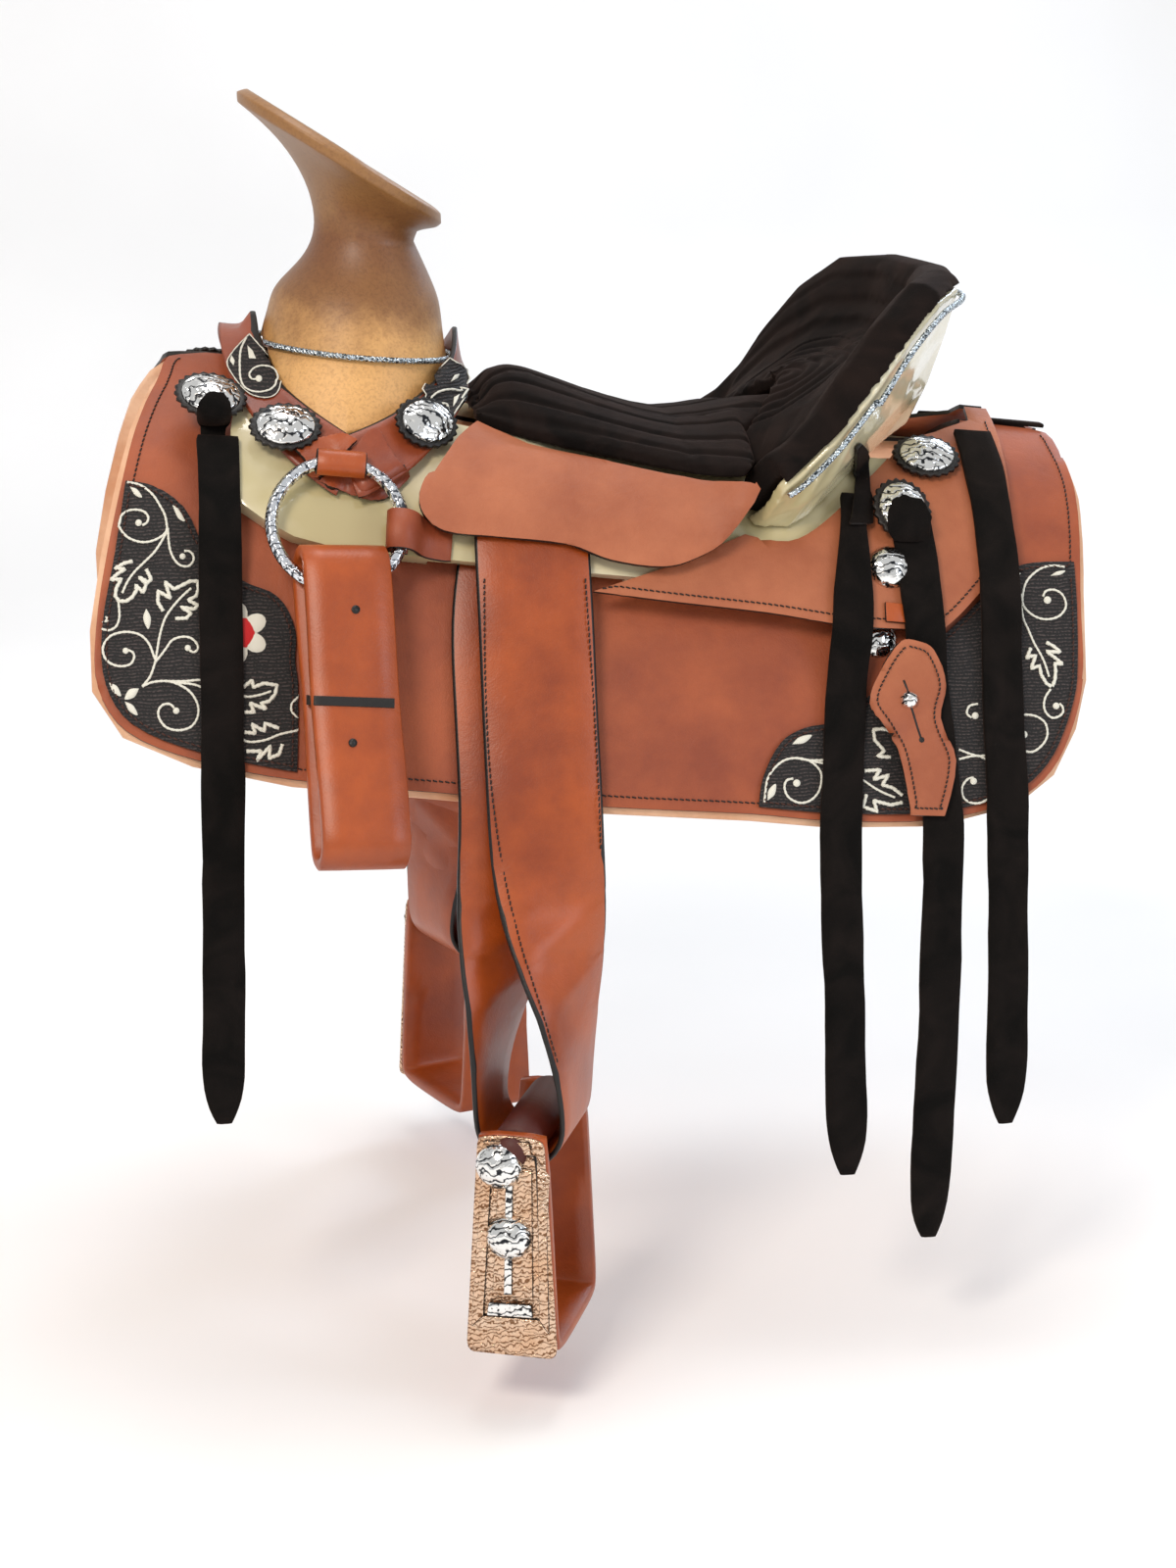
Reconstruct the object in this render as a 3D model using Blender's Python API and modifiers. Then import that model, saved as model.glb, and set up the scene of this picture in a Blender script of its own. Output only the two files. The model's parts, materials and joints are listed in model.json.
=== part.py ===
# Charro saddle: a rawhide-covered tree with a broad horn and a dished cantle,
# dressed in skirts, jockeys, flaps, ties, rigging and covered stirrups.
# Metres. +X runs back to the cantle, -Y is the near side, +Z is up.
# The origin is where the underside rests on the ridge of the horse's back or of a rack.
# The saddle stands nose up by its pitch; what hangs from it hangs under the world's Z.

import math

import bmesh
import bpy
from mathutils import Matrix, Vector

# Stance and the curve of the horse's body, in the saddle's own frame
PITCH_DEG = 6.0
RIDGE_SLOPE_DEG = 14.0
GIRTH_SLOPE_DEG = 64.0
HEM_SLOPE_DEG = 71.0
GIRTH_RUN = 0.170
HEM_RUN = 0.360
DIP = 0.030
DIP_CENTRE = 0.020
DIP_HALF_LENGTH = 0.260
DIP_FADE_RUN = 0.200

# Stack of layers over the body
GAP = 0.0003
PANEL_GAP = 0.0007
LINING_THICKNESS = 0.0060
SKIRT_THICKNESS = 0.0040
PATCH_THICKNESS = 0.0020
BAR_THICKNESS = 0.0135
BAR_TAIL_THICKNESS = 0.0060
JOCKEY_THICKNESS = 0.0035
FLAP_THICKNESS = 0.0035

# Spacing of the panels' creases down the side and along the back
RUN_STEP = 0.0243
LENGTH_STEP = 0.052

# Skirts and their lining
SKIRT_FRONT = -0.340
SKIRT_REAR = 0.351
SKIRT_DROP = 0.337
LINING_MARGIN = 0.004

# Tree bars
BAR_FRONT = -0.262
BAR_REAR = 0.285
BAR_TOP_RUN = 0.070
BAR_LOW_RUN = 0.178

# Fork and horn
HORN_SEGMENTS = 24
HORN_CAP_RADIUS = 0.045
CORD_RADIUS = 0.0024
FORK_CORD_LIFT = 0.024

# Collar round the fork
COLLAR_WIDTH = 0.046
COLLAR_THICKNESS = 0.004
COLLAR_FRONT = 0.020
COLLAR_REAR = 0.022
COLLAR_LOW = -0.050
LOOP_WIDTH = 0.034
LOOP_WALL = 0.0025

# Cantle
CANTLE_THICKNESS = 0.009
CANTLE_BULGE = 0.005
CANTLE_PAD_DEPTH = 0.022
CANTLE_PAD_RISE = 0.008

# Seat
SEAT_FRONT = -0.090
SEAT_SHOULDER = 0.100
SEAT_REAR = 0.150
FLAP_REAR = 0.098
FLAP_CLEARANCE = 0.0015
SEAT_THICKNESS = 0.016
SEAT_EDGE_THICKNESS = 0.008
SEAT_CHANNELS = 4
CHANNEL_DEPTH = 0.0022
CHANNEL_WIDTH = 0.005

# Stirrup leather and stirrup
LEATHER_X = -0.053
LEATHER_WIDTH = 0.080
LEATHER_THICKNESS = 0.0040
SLOT_RUN = 0.112
LEATHER_LOOP_RADIUS = 0.031
STIRRUP_YAW_DEG = 21.0
STIRRUP_WIDTH = 0.122
STIRRUP_HEIGHT = 0.160
STIRRUP_TOP_BREADTH = 0.048
STIRRUP_TREAD_BREADTH = 0.064
STIRRUP_WALL = 0.008
FACE_THICKNESS = 0.0025
BOLT_RADIUS = 0.0060
ROLLER_RADIUS = 0.0170
ROLLER_PLAY = 0.0010
BOLT_DOME_RADIUS = 0.0120
BOLT_DROP = 0.012
BOLT_X = -0.072
BOLT_Y = 0.240
BOLT_Z = -0.469

# Rigging
RING_RADIUS = 0.0455
RING_WIRE = 0.0045
RING_X = -0.187
RING_RUN = 0.166
RING_LIFT = 0.0425
LATIGO_WIDTH = 0.060
LATIGO_LENGTH = 0.226
LATIGO_DEPTH = 0.042
LATIGO_WALL = 0.009
LATIGO_YAW_DEG = 8.0
LATIGO_HEAD = 0.031
RIGGING_THICKNESS = 0.003
RIGGING_WIDTH = 0.029
BILLET_LOW = 0.0205
BILLET_TOP = 0.0328
BILLET_THICKNESS = 0.0040

# Conchos
ROSETTE_RADIUS = 0.0255
ROSETTE_THICKNESS = 0.0030
CONCHO_RADIUS = 0.0215
CONCHO_RISE = 0.0050
COLLAR_CONCHO_SQUEEZE = 0.8
CONCHO_LIFT = 0.0068
POST_RADIUS = 0.0040
POST_GAP = 0.0006
DOME_RADIUS = 0.0160
DOME_RISE = 0.0070

# Ties
TIE_THICKNESS = 0.0050
TIE_WIDTH = 0.029
OFF_TIE_HANG = 0.050

PITCH = Matrix.Rotation(math.radians(PITCH_DEG), 4, "Y")

COLOURS = {
    "tan_leather": ((0.42, 0.17, 0.09), 0.55, 0.0),
    "orange_leather": ((0.50, 0.17, 0.04), 0.50, 0.0),
    "rose_leather": ((0.48, 0.22, 0.15), 0.60, 0.0),
    "pale_leather": ((0.72, 0.50, 0.35), 0.80, 0.0),
    "embroidered_suede": ((0.02, 0.016, 0.016), 0.90, 0.0),
    "black_suede": ((0.015, 0.010, 0.008), 0.95, 0.0),
    "rawhide": ((0.55, 0.35, 0.16), 0.45, 0.0),
    "lacquer": ((0.62, 0.58, 0.44), 0.15, 0.0),
    "silver": ((0.80, 0.80, 0.82), 0.20, 1.0),
}

for old in list(bpy.data.objects):
    bpy.data.objects.remove(old, do_unlink=True)

SADDLE = bpy.data.collections.new("charro_saddle")
CUTTERS = bpy.data.collections.new("cutters")
bpy.context.scene.collection.children.link(SADDLE)
bpy.context.scene.collection.children.link(CUTTERS)


def material(name):
    found = bpy.data.materials.get(name)
    if found:
        return found
    colour, roughness, metallic = COLOURS[name]
    made = bpy.data.materials.new(name)
    made.use_nodes = True
    shader = made.node_tree.nodes["Principled BSDF"]
    shader.inputs["Base Color"].default_value = (*colour, 1.0)
    shader.inputs["Roughness"].default_value = roughness
    shader.inputs["Metallic"].default_value = metallic
    return made


def pivot(name, at=(0, 0, 0), turn=None, parent=None):
    # An empty on a joint's axis, or the saddle's own frame
    empty = bpy.data.objects.new(name, None)
    empty.empty_display_size = 0.03
    SADDLE.objects.link(empty)
    empty.parent = parent
    empty.matrix_world = Matrix.Translation(at) @ (turn or Matrix.Identity(4))
    bpy.context.view_layer.update()
    return empty


def add(name, bm, finish, parent, collection=None):
    # Takes a bmesh in world coordinates and hangs it on its parent
    bmesh.ops.recalc_face_normals(bm, faces=bm.faces)
    bmesh.ops.transform(bm, matrix=parent.matrix_world.inverted(), verts=bm.verts)
    mesh = bpy.data.meshes.new(name)
    bm.to_mesh(mesh)
    bm.free()
    mesh.shade_smooth()
    mesh.set_sharp_from_angle(angle=math.radians(35))
    mesh.materials.append(material(finish))
    made = bpy.data.objects.new(name, mesh)
    (collection or SADDLE).objects.link(made)
    made.parent = parent
    return made


def cutter(name, bm, parent):
    made = add(name, bm, "lacquer", parent, CUTTERS)
    made.hide_render = True
    made.display_type = "WIRE"
    return made


def cut(target, tool):
    step = target.modifiers.new("cut", "BOOLEAN")
    step.operation = "DIFFERENCE"
    step.solver = "EXACT"
    step.object = tool


def section(s):
    # Sideways run, height and slope of the body curve, s along it from the ridge
    ridge, girth, hem = (math.radians(a) for a in (RIDGE_SLOPE_DEG, GIRTH_SLOPE_DEG, HEM_SLOPE_DEG))
    turn = (girth - ridge) / GIRTH_RUN
    slope = ridge + turn * min(s, GIRTH_RUN)
    y = (math.sin(slope) - math.sin(ridge)) / turn
    z = (math.cos(slope) - math.cos(ridge)) / turn
    if s > GIRTH_RUN:
        turn = (hem - girth) / (HEM_RUN - GIRTH_RUN)
        slope = girth + turn * (s - GIRTH_RUN)
        y += (math.sin(slope) - math.sin(girth)) / turn
        z += (math.cos(slope) - math.cos(girth)) / turn
    return y, z, slope


def dip(x, s):
    # The back is hollow under the seat
    along = abs(x - DIP_CENTRE) / DIP_HALF_LENGTH
    if along > 1 or s > DIP_FADE_RUN:
        return 0.0
    return DIP * math.cos(along * math.pi / 2) ** 2 * (1 - max(s, 0) / DIP_FADE_RUN)


def on_body(x, s, off, side):
    # Point over the body in the saddle's frame: x along, s down the side, off outwards
    y, z, slope = section(s)
    return Vector((x, side * (y + off * math.sin(slope)), z - dip(x, s) + off * math.cos(slope)))


def world(p):
    return PITCH @ Vector(p)


def over_body(x, y, z):
    # Run down the side and height over the body of a point in the saddle's frame
    low, high = 0.0, 0.36
    for _ in range(30):
        middle = (low + high) / 2
        base = on_body(x, middle, 0, 1)
        up = on_body(x, middle, 1, 1) - base
        away = Vector((x, abs(y), z)) - base
        if away.dot(Vector((0, up.z, -up.y))) > 0:
            low = middle
        else:
            high = middle
    return low, away.dot(up)


def run_at(x, y, off):
    # The s whose point over the body lies |y| sideways
    low, high = -0.02, 0.36
    for _ in range(30):
        middle = (low + high) / 2
        if on_body(x, middle, off, 1).y < abs(y):
            low = middle
        else:
            high = middle
    return low


def height_over(x, y, off):
    return on_body(x, run_at(x, y, off), off, 1).z


def smooth(points, steps=3, closed=True):
    # A curve through the points; a point with a third value is a sharp corner
    made, count = [], len(points)
    last = count if closed else count - 1
    for i in range(last):
        a, b = points[i], points[(i + 1) % count]
        before, after = points[i - 1], points[(i + 2) % count]
        if not closed and i == 0:
            before = a
        if not closed and i == count - 2:
            after = b
        pa, pb = Vector(a[:2]), Vector(b[:2])
        span = (pb - pa).length
        ta = Vector((0, 0)) if len(a) > 2 else (pb - Vector(before[:2])).normalized() * span
        tb = Vector((0, 0)) if len(b) > 2 else (Vector(after[:2]) - pa).normalized() * span
        straight = len(a) > 2 and len(b) > 2
        for k in range(1 if straight else steps):
            t = k / steps
            h1, h2 = 2 * t**3 - 3 * t**2 + 1, t**3 - 2 * t**2 + t
            h3, h4 = -2 * t**3 + 3 * t**2, t**3 - t**2
            made.append(tuple(h1 * pa + h2 * ta + h3 * pb + h4 * tb))
    if not closed:
        made.append(tuple(points[-1][:2]))
    return made


def through(points, t):
    # Value at t on a curve through evenly counted points of any dimension
    spans = len(points) - 1
    at = min(max(t, 0.0), 1.0) * spans
    i = min(int(at), spans - 1)
    f = at - i
    p = [Vector(points[min(max(k, 0), spans)]) for k in (i - 1, i, i + 1, i + 2)]
    return 0.5 * (2 * p[1] + (p[2] - p[0]) * f + (2 * p[0] - 5 * p[1] + 4 * p[2] - p[3]) * f**2
                  + (3 * p[1] - p[0] - 3 * p[2] + p[3]) * f**3)


def ease(t):
    t = min(max(t, 0.0), 1.0)
    return t * t * (3 - 2 * t)


def between(t, a, b):
    return a + (b - a) * ease(t)


def loft(rings, closed=False):
    # Skin over rings of equally many points, capped unless closed on itself
    bm = bmesh.new()
    rows = [[bm.verts.new(p) for p in ring] for ring in rings]
    count = len(rows[0])
    for i in range(len(rows) if closed else len(rows) - 1):
        a, b = rows[i], rows[(i + 1) % len(rows)]
        for k in range(count):
            bm.faces.new((a[k], a[(k + 1) % count], b[(k + 1) % count], b[k]))
    if not closed:
        bm.faces.new(rows[0])
        bm.faces.new(rows[-1])
    return bm


def strap(stations, thickness, closed=False):
    # A flat strap through (centre, width direction, width) stations
    rings, count = [], len(stations)
    for i, (centre, across, width) in enumerate(stations):
        before = stations[i - 1][0] if closed or i else centre
        after = stations[(i + 1) % count][0] if closed or i < count - 1 else centre
        along = (after - before).normalized()
        across = (across - across.dot(along) * along).normalized()
        out = along.cross(across)
        w, t = across * width / 2, out * thickness / 2
        rings.append([centre - w - t, centre + w - t, centre + w + t, centre - w + t])
    return loft(rings, closed)


def fold_runs():
    # Runs down the side where every panel is creased, so that stacked panels nest
    runs = [RUN_STEP * k for k in range(1, round(GIRTH_RUN / RUN_STEP) + 1)]
    return runs + [runs[-1] + 2 * RUN_STEP * k for k in range(1, 5)]


def panel(outline, low, high, side, holes=()):
    # A leather panel cut flat in (x, s), then bent over the body between two heights
    bm = bmesh.new()
    for loop in (outline, *holes):
        verts = [bm.verts.new((p[0], p[1], 0)) for p in loop]
        for i, v in enumerate(verts):
            bm.edges.new((v, verts[(i + 1) % len(verts)]))
    bmesh.ops.triangle_fill(bm, use_beauty=True, edges=bm.edges)
    for s in fold_runs():
        geometry = bm.verts[:] + bm.edges[:] + bm.faces[:]
        bmesh.ops.bisect_plane(bm, geom=geometry, dist=0.0004, plane_co=(0, s, 0), plane_no=(0, 1, 0))
    for k in range(-5, 6):
        faces = [f for f in bm.faces if f.calc_center_median().y < DIP_FADE_RUN]
        edges = {e for f in faces for e in f.edges}
        geometry = list({v for f in faces for v in f.verts}) + list(edges) + faces
        at = (DIP_CENTRE + k * LENGTH_STEP, 0, 0)
        bmesh.ops.bisect_plane(bm, geom=geometry, dist=0.0004, plane_co=at, plane_no=(1, 0, 0))
    bmesh.ops.triangulate(bm, faces=bm.faces)
    under = set(bm.verts)
    bmesh.ops.extrude_face_region(bm, geom=bm.faces[:])
    for v in bm.verts:
        x, s, level = v.co.x, v.co.y, low if v in under else high
        v.co = world(on_body(x, s, level(x, s) if callable(level) else level, side))
    return bm


def turned(name, profile, at, axis, finish, parent, steps=16, squeeze=1.0):
    # A profile of (radius, height), top centre to bottom centre, turned about its axis
    mesh = bpy.data.meshes.new(name)
    mesh.from_pydata([(r, 0, h) for r, h in profile], [(i, i + 1) for i in range(len(profile) - 1)], [])
    mesh.materials.append(material(finish))
    made = bpy.data.objects.new(name, mesh)
    SADDLE.objects.link(made)
    spin = made.modifiers.new("turn", "SCREW")
    spin.axis = "Z"
    spin.steps = steps
    spin.render_steps = steps
    spin.use_merge_vertices = True
    spin.merge_threshold = 0.00005
    spin.use_smooth_shade = True
    face = Vector(axis).to_track_quat("Z", "Y").to_matrix().to_4x4()
    made.parent = parent
    made.matrix_world = Matrix.Translation(at) @ face @ Matrix.Diagonal((1, squeeze, 1, 1))
    return made


def wire(name, points, radius, finish, parent, cyclic=False):
    curve = bpy.data.curves.new(name, "CURVE")
    curve.dimensions = "3D"
    curve.bevel_depth = radius
    curve.bevel_resolution = 1
    curve.use_fill_caps = not cyclic
    line = curve.splines.new("POLY")
    line.points.add(len(points) - 1)
    back = parent.matrix_world.inverted()
    for dot, p in zip(line.points, points):
        dot.co = (*(back @ Vector(p)), 1)
    line.use_cyclic_u = cyclic
    curve.materials.append(material(finish))
    made = bpy.data.objects.new(name, curve)
    SADDLE.objects.link(made)
    made.parent = parent
    return made


# Heights of the stack
SKIRT_LOW = LINING_THICKNESS + PANEL_GAP
SKIRT_HIGH = SKIRT_LOW + SKIRT_THICKNESS
PATCH_LOW = SKIRT_HIGH + PANEL_GAP
PATCH_HIGH = PATCH_LOW + PATCH_THICKNESS
BAR_LOW = SKIRT_HIGH + PANEL_GAP
INNER_LEATHER = BAR_LOW + 0.0018 + LEATHER_THICKNESS / 2
CHANNEL_ROOF = INNER_LEATHER + LEATHER_THICKNESS / 2 + 0.0018


def bar_high(x, s):
    # The bars thin out towards their tails
    tail = ease((x - 0.12) / 0.15)
    return BAR_LOW + BAR_THICKNESS + 0.003 - tail * (BAR_THICKNESS + 0.003 - BAR_TAIL_THICKNESS)


def jockey_low(x, s):
    return max(bar_high(x, s) + PANEL_GAP, PATCH_HIGH + PANEL_GAP)


def jockey_high(x, s):
    return jockey_low(x, s) + JOCKEY_THICKNESS


OUTER_LEATHER = bar_high(0, 0) + PANEL_GAP + JOCKEY_THICKNESS + 0.0020 + LEATHER_THICKNESS / 2
FLAP_LOW = OUTER_LEATHER + LEATHER_THICKNESS / 2 + 0.0022

frame = pivot("saddle_frame", turn=PITCH)

# Fork and horn: rings given by their front and rear points in profile and a half width
FORK_RINGS = [
    (-0.262, -0.070, -0.100, -0.070, 0.124),
    (-0.266, -0.030, -0.099, -0.032, 0.108),
    (-0.260, 0.000, -0.102, 0.000, 0.092),
    (-0.243, 0.022, -0.107, 0.024, 0.080),
    (-0.239, 0.045, -0.112, 0.046, 0.068),
    (-0.237, 0.060, -0.115, 0.062, 0.060),
    (-0.227, 0.072, -0.121, 0.074, 0.051),
    (-0.215, 0.086, -0.129, 0.088, 0.043),
    (-0.209, 0.104, -0.138, 0.103, 0.037),
    (-0.213, 0.124, -0.136, 0.110, 0.042),
    (-0.222, 0.143, -0.131, 0.112, 0.052),
    (-0.238, 0.163, -0.126, 0.113, 0.064),
    (-0.258, 0.179, -0.122, 0.114, 0.076),
    (-0.272, 0.188, -0.119, 0.117, 0.083),
    (-0.273, 0.195, -0.120, 0.124, 0.084),
    (-0.266, 0.198, -0.127, 0.130, 0.079),
]


def fork_ring(t):
    # Interpolated ring, t from 0 at the base to 1 at the horn's top edge
    at = min(max(t, 0.0), 1.0) * (len(FORK_RINGS) - 1)
    i = min(int(at), len(FORK_RINGS) - 2)
    ring = [a + (b - a) * (at - i) for a, b in zip(FORK_RINGS[i], FORK_RINGS[i + 1])]
    return Vector(ring[:4]), ring[4]


def fork_t(z):
    # Ring parameter whose centre lies at height z, for the fork below the neck
    low, high = 0.0, 8 / 15
    for _ in range(30):
        middle = (low + high) / 2
        ends, _ = fork_ring(middle)
        if (ends[1] + ends[3]) / 2 < z:
            low = middle
        else:
            high = middle
    return low


def on_fork(angle, z, off):
    # Point over the fork: angle 0 at the rear, 90 degrees on the off side
    ends, half = fork_ring(fork_t(z))
    centre = (ends[0] + ends[2]) / 2
    a, b = (ends[2] - ends[0]) / 2, half
    x, y = a * math.cos(angle), b * math.sin(angle)
    out = Vector((math.cos(angle) / a, math.sin(angle) / b, 0)).normalized()
    return Vector((centre + x, y, z)) + out * off


def ring_points(ring, count):
    xf, zf, xr, zr, half = ring
    centre = Vector(((xf + xr) / 2, 0, (zf + zr) / 2))
    along = Vector((xr - xf, 0, zr - zf)) / 2
    turns = [2 * math.pi * k / count for k in range(count)]
    return [world(centre + along * math.cos(a) + Vector((0, half * math.sin(a), 0))) for a in turns]


rings = [ring_points(r, HORN_SEGMENTS) for r in FORK_RINGS]
xf, zf, xr, zr, half = FORK_RINGS[-1]
tilt = Vector((xr - xf, 0, zr - zf))
centre = Vector(((xf + xr) / 2, 0, (zf + zr) / 2)) - Vector((-tilt.z, 0, tilt.x)).normalized() * 0.003
reach = tilt.normalized() * HORN_CAP_RADIUS
cap = (centre.x - reach.x, centre.z - reach.z, centre.x + reach.x, centre.z + reach.z, HORN_CAP_RADIUS)
rings.append(ring_points(cap, HORN_SEGMENTS))
horn = add("horn_fork", loft(rings), "rawhide", frame)
for side, word in ((-1, "near"), (1, "off")):
    seat_of_fork = [(-0.300, -0.012), (-0.060, -0.012), (-0.060, 0.240), (-0.300, 0.240)]
    bed = panel(seat_of_fork, -0.070, lambda x, s: bar_high(x, s) + 3 * GAP, side)
    cut(horn, cutter("fork_bed_" + word, bed, frame))

# Twisted cord round the fork, under the collar straps
turns = [2 * math.pi * k / 24 for k in range(24)]
around = [world(on_fork(a, FORK_CORD_LIFT, CORD_RADIUS + GAP + 0.0009)) for a in turns]
wire("fork_cord", around, CORD_RADIUS, "silver", frame, cyclic=True)

# Collar straps: one over the front of the fork, one behind it, crossing low on each side
STRAP_LIFT = 2 * CORD_RADIUS + 2 * GAP + 0.0016


def drape(angle, z, lift):
    # Over the fork, and over the bars where the fork meets them
    p = on_fork(angle, z, lift)
    s, off = over_body(p.x, p.y, p.z)
    least = bar_high(p.x, s) + 0.0012 + lift - STRAP_LIFT
    if off >= least:
        return p
    return on_body(p.x, s, least, 1 if p.y > 0 else -1)


def fork_strap(name, path, width, finish):
    # A strap on the fork through (angle, z, lift) stations
    rings = []
    for i, (angle, z, lift) in enumerate(path):
        a, b = path[max(i - 1, 0)], path[min(i + 1, len(path) - 1)]
        radius = (on_fork(angle, z, 0) - on_fork(angle + math.pi, z, 0)).length / 2
        way = Vector(((b[0] - a[0]) * radius, b[1] - a[1])).normalized()
        reach = width / 2
        rings.append([world(drape(angle - way.y * end * reach / radius, z + way.x * end * reach,
                                  lift + skin * COLLAR_THICKNESS))
                      for end, skin in ((-1, 0), (0, 0), (1, 0), (1, 1), (0, 1), (-1, 1))])
    return add(name, loft(rings), finish, frame)


def collar_height(angle, middle):
    # Height of a collar strap's centre line, from its middle down to where the two cross
    return middle + (COLLAR_LOW - middle) * min(abs(angle) / (math.pi / 2), 1.0)


def collar_lift(angle):
    # The rear strap climbs over the front one where they cross
    beside = (math.pi / 2 - abs(angle)) / math.radians(20)
    return STRAP_LIFT + (COLLAR_THICKNESS + GAP + 0.0012) * ease(2 - beside)


turns = [math.pi / 2 * (k / 9 - 1) for k in range(19)]
fork_strap("collar_front_strap", [(math.pi + a, collar_height(a, COLLAR_FRONT), STRAP_LIFT) for a in turns],
           COLLAR_WIDTH, "tan_leather")
fork_strap("collar_rear_strap", [(a, collar_height(a, COLLAR_REAR), collar_lift(a)) for a in turns],
           COLLAR_WIDTH, "tan_leather")


def concho(name, at, axis, radius, rise, parent, post, squeeze=1.0):
    # Leather rosette and silver disc, domed, as one turned piece
    rosette = radius * ROSETTE_RADIUS / CONCHO_RADIUS
    top = ROSETTE_THICKNESS + rise
    profile = [(0, top), (0.45 * radius, top - 0.15 * rise), (0.80 * radius, top - 0.50 * rise),
               (radius, ROSETTE_THICKNESS + 0.0010), (radius, ROSETTE_THICKNESS),
               (rosette, ROSETTE_THICKNESS), (rosette, 0), (POST_RADIUS, 0), (POST_RADIUS, -post), (0, -post)]
    return turned(name, profile, at, axis, "silver", parent, 16, squeeze)


# Seat: heights of its crest along the middle and the line of its lower edge
SEAT_CREST = [
    (-0.090, -0.013), (-0.084, 0.000), (-0.076, 0.014), (-0.062, 0.020), (-0.038, 0.015),
    (-0.012, 0.008), (0.015, 0.001), (0.058, -0.005), (0.093, 0.003), (0.125, 0.012), (0.150, 0.020),
]
SEAT_EDGE = [
    (-0.090, 0.075, -0.006), (-0.052, 0.091, -0.015), (-0.009, 0.108, -0.018), (0.041, 0.128, -0.022),
    (0.077, 0.142, -0.023), (0.100, 0.150, -0.020), (0.106, 0.096, -0.014),
    (0.112, 0.090, -0.012), (0.130, 0.080, -0.008), (0.150, 0.070, -0.002),
]


def at_x(points, x):
    # Values at x on a curve through points whose first value is x
    if x <= points[0][0]:
        return points[0][1:]
    for i in range(len(points) - 1):
        if x <= points[i + 1][0]:
            break
    f = min((x - points[i][0]) / (points[i + 1][0] - points[i][0]), 1.0)
    p = [points[min(max(k, 0), len(points) - 1)] for k in (i - 1, i, i + 1, i + 2)]
    made = []
    for c in range(1, len(points[0])):
        rise = p[2][c] - p[1][c]
        span = p[2][0] - p[1][0]
        m1 = (p[2][c] - p[0][c]) / (p[2][0] - p[0][0]) * span
        m2 = (p[3][c] - p[1][c]) / (p[3][0] - p[1][0]) * span
        made.append(p[1][c] + f * m1 + f * f * (3 * rise - 2 * m1 - m2) + f**3 * (m1 + m2 - 2 * rise))
    return made


def seat_top(x, f):
    # Height of the seat, f from 0 on the crest to 1 at the edge
    crest, = at_x(SEAT_CREST, x)
    edge = at_x(SEAT_EDGE, x)[1]
    return crest + (edge - crest) * abs(f)**2.2


def seat_under(x, f):
    y = abs(f) * at_x(SEAT_EDGE, x)[0]
    depth = SEAT_THICKNESS + (SEAT_EDGE_THICKNESS - SEAT_THICKNESS) * ease((abs(f) - 0.7) / 0.3)
    return max(seat_top(x, f) - depth, height_over(x, y, bar_high(x, 0) + 2 * GAP))


def seat_row(x):
    # One closed section of the seat pad, with its stitched channels
    half = at_x(SEAT_EDGE, x)[0]
    marks = {-1.0: 0, -0.86: 0, -0.54: 0, -0.18: 0, 0.0: 0, 0.18: 0, 0.54: 0, 0.86: 0, 1.0: 0}
    for k in range(SEAT_CHANNELS):
        centre = (2 * k + 1) / SEAT_CHANNELS * 0.96 - 0.96
        for shift, depth in ((-1, 0), (0, CHANNEL_DEPTH), (1, 0)):
            marks[centre + shift * CHANNEL_WIDTH / half / 2] = depth
    row = [world((x, f * half, seat_top(x, f) - marks[f])) for f in sorted(marks)]
    row += [world((x, f * (half - 0.002), seat_under(x, f))) for f in (1, 0.85, 0.5, 0.15, -0.15, -0.5, -0.85, -1)]
    return row


def flap_top(x):
    # Run and height over the body of the flap's upper edge, under the seat's edge
    y, z = at_x(SEAT_EDGE, min(max(x, SEAT_FRONT), FLAP_REAR))
    return over_body(x, y + 0.001, z - SEAT_EDGE_THICKNESS - FLAP_CLEARANCE)


def flap_high(x, s):
    run, top = flap_top(x)
    length = 0.014 + 0.038 * ease(x / 0.05)
    least = bar_high(x, s) + FLAP_THICKNESS + 0.0010
    if s > SLOT_RUN - 0.018 and x < 0.012:
        return FLAP_LOW + FLAP_THICKNESS
    return max(between((s - run) / length, top, FLAP_LOW + FLAP_THICKNESS), least)


def flap_low(x, s):
    return flap_high(x, s) - FLAP_THICKNESS


# Cantle: base and rim of the shell's outer face from the near end to the middle
CANTLE_BASE = [
    (0.103, 0.134), (0.128, 0.137), (0.147, 0.124), (0.179, 0.088), (0.210, 0.052), (0.233, 0.026), (0.243, 0.000),
]
CANTLE_RIM = [
    (0.118, 0.165, -0.033), (0.153, 0.165, 0.008), (0.182, 0.156, 0.051), (0.205, 0.142, 0.086),
    (0.228, 0.115, 0.106), (0.250, 0.065, 0.111), (0.260, 0.000, 0.111),
]


def cantle_wall(u):
    # Base, rim, inward direction and height of the shell, u from -1 near to 1 off
    side = -1 if u < 0 else 1
    x, s = through(CANTLE_BASE, 1 - abs(u))
    base = on_body(x, max(s, 0), bar_high(x, s) - 0.003, side)
    rim = through(CANTLE_RIM, 1 - abs(u))
    rim.y *= side
    return base, rim


def cantle_frame(u):
    base, rim = cantle_wall(u)
    before, after = cantle_wall(max(u - 0.05, -1)), cantle_wall(min(u + 0.05, 1))
    along = ((after[0] + after[1]) - (before[0] + before[1])).normalized()
    up = (rim - base).normalized()
    inward = along.cross(up).normalized()
    if inward.dot(Vector((0.02, 0, 0.04)) - base) < 0:
        inward = -inward
    return base, up, inward, (rim - base).length


def cantle_ring(u, section_points):
    base, up, inward, height = cantle_frame(u)
    return [world(base + inward * n + up * (share * height + h)) for n, share, h in section_points(u)]


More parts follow.
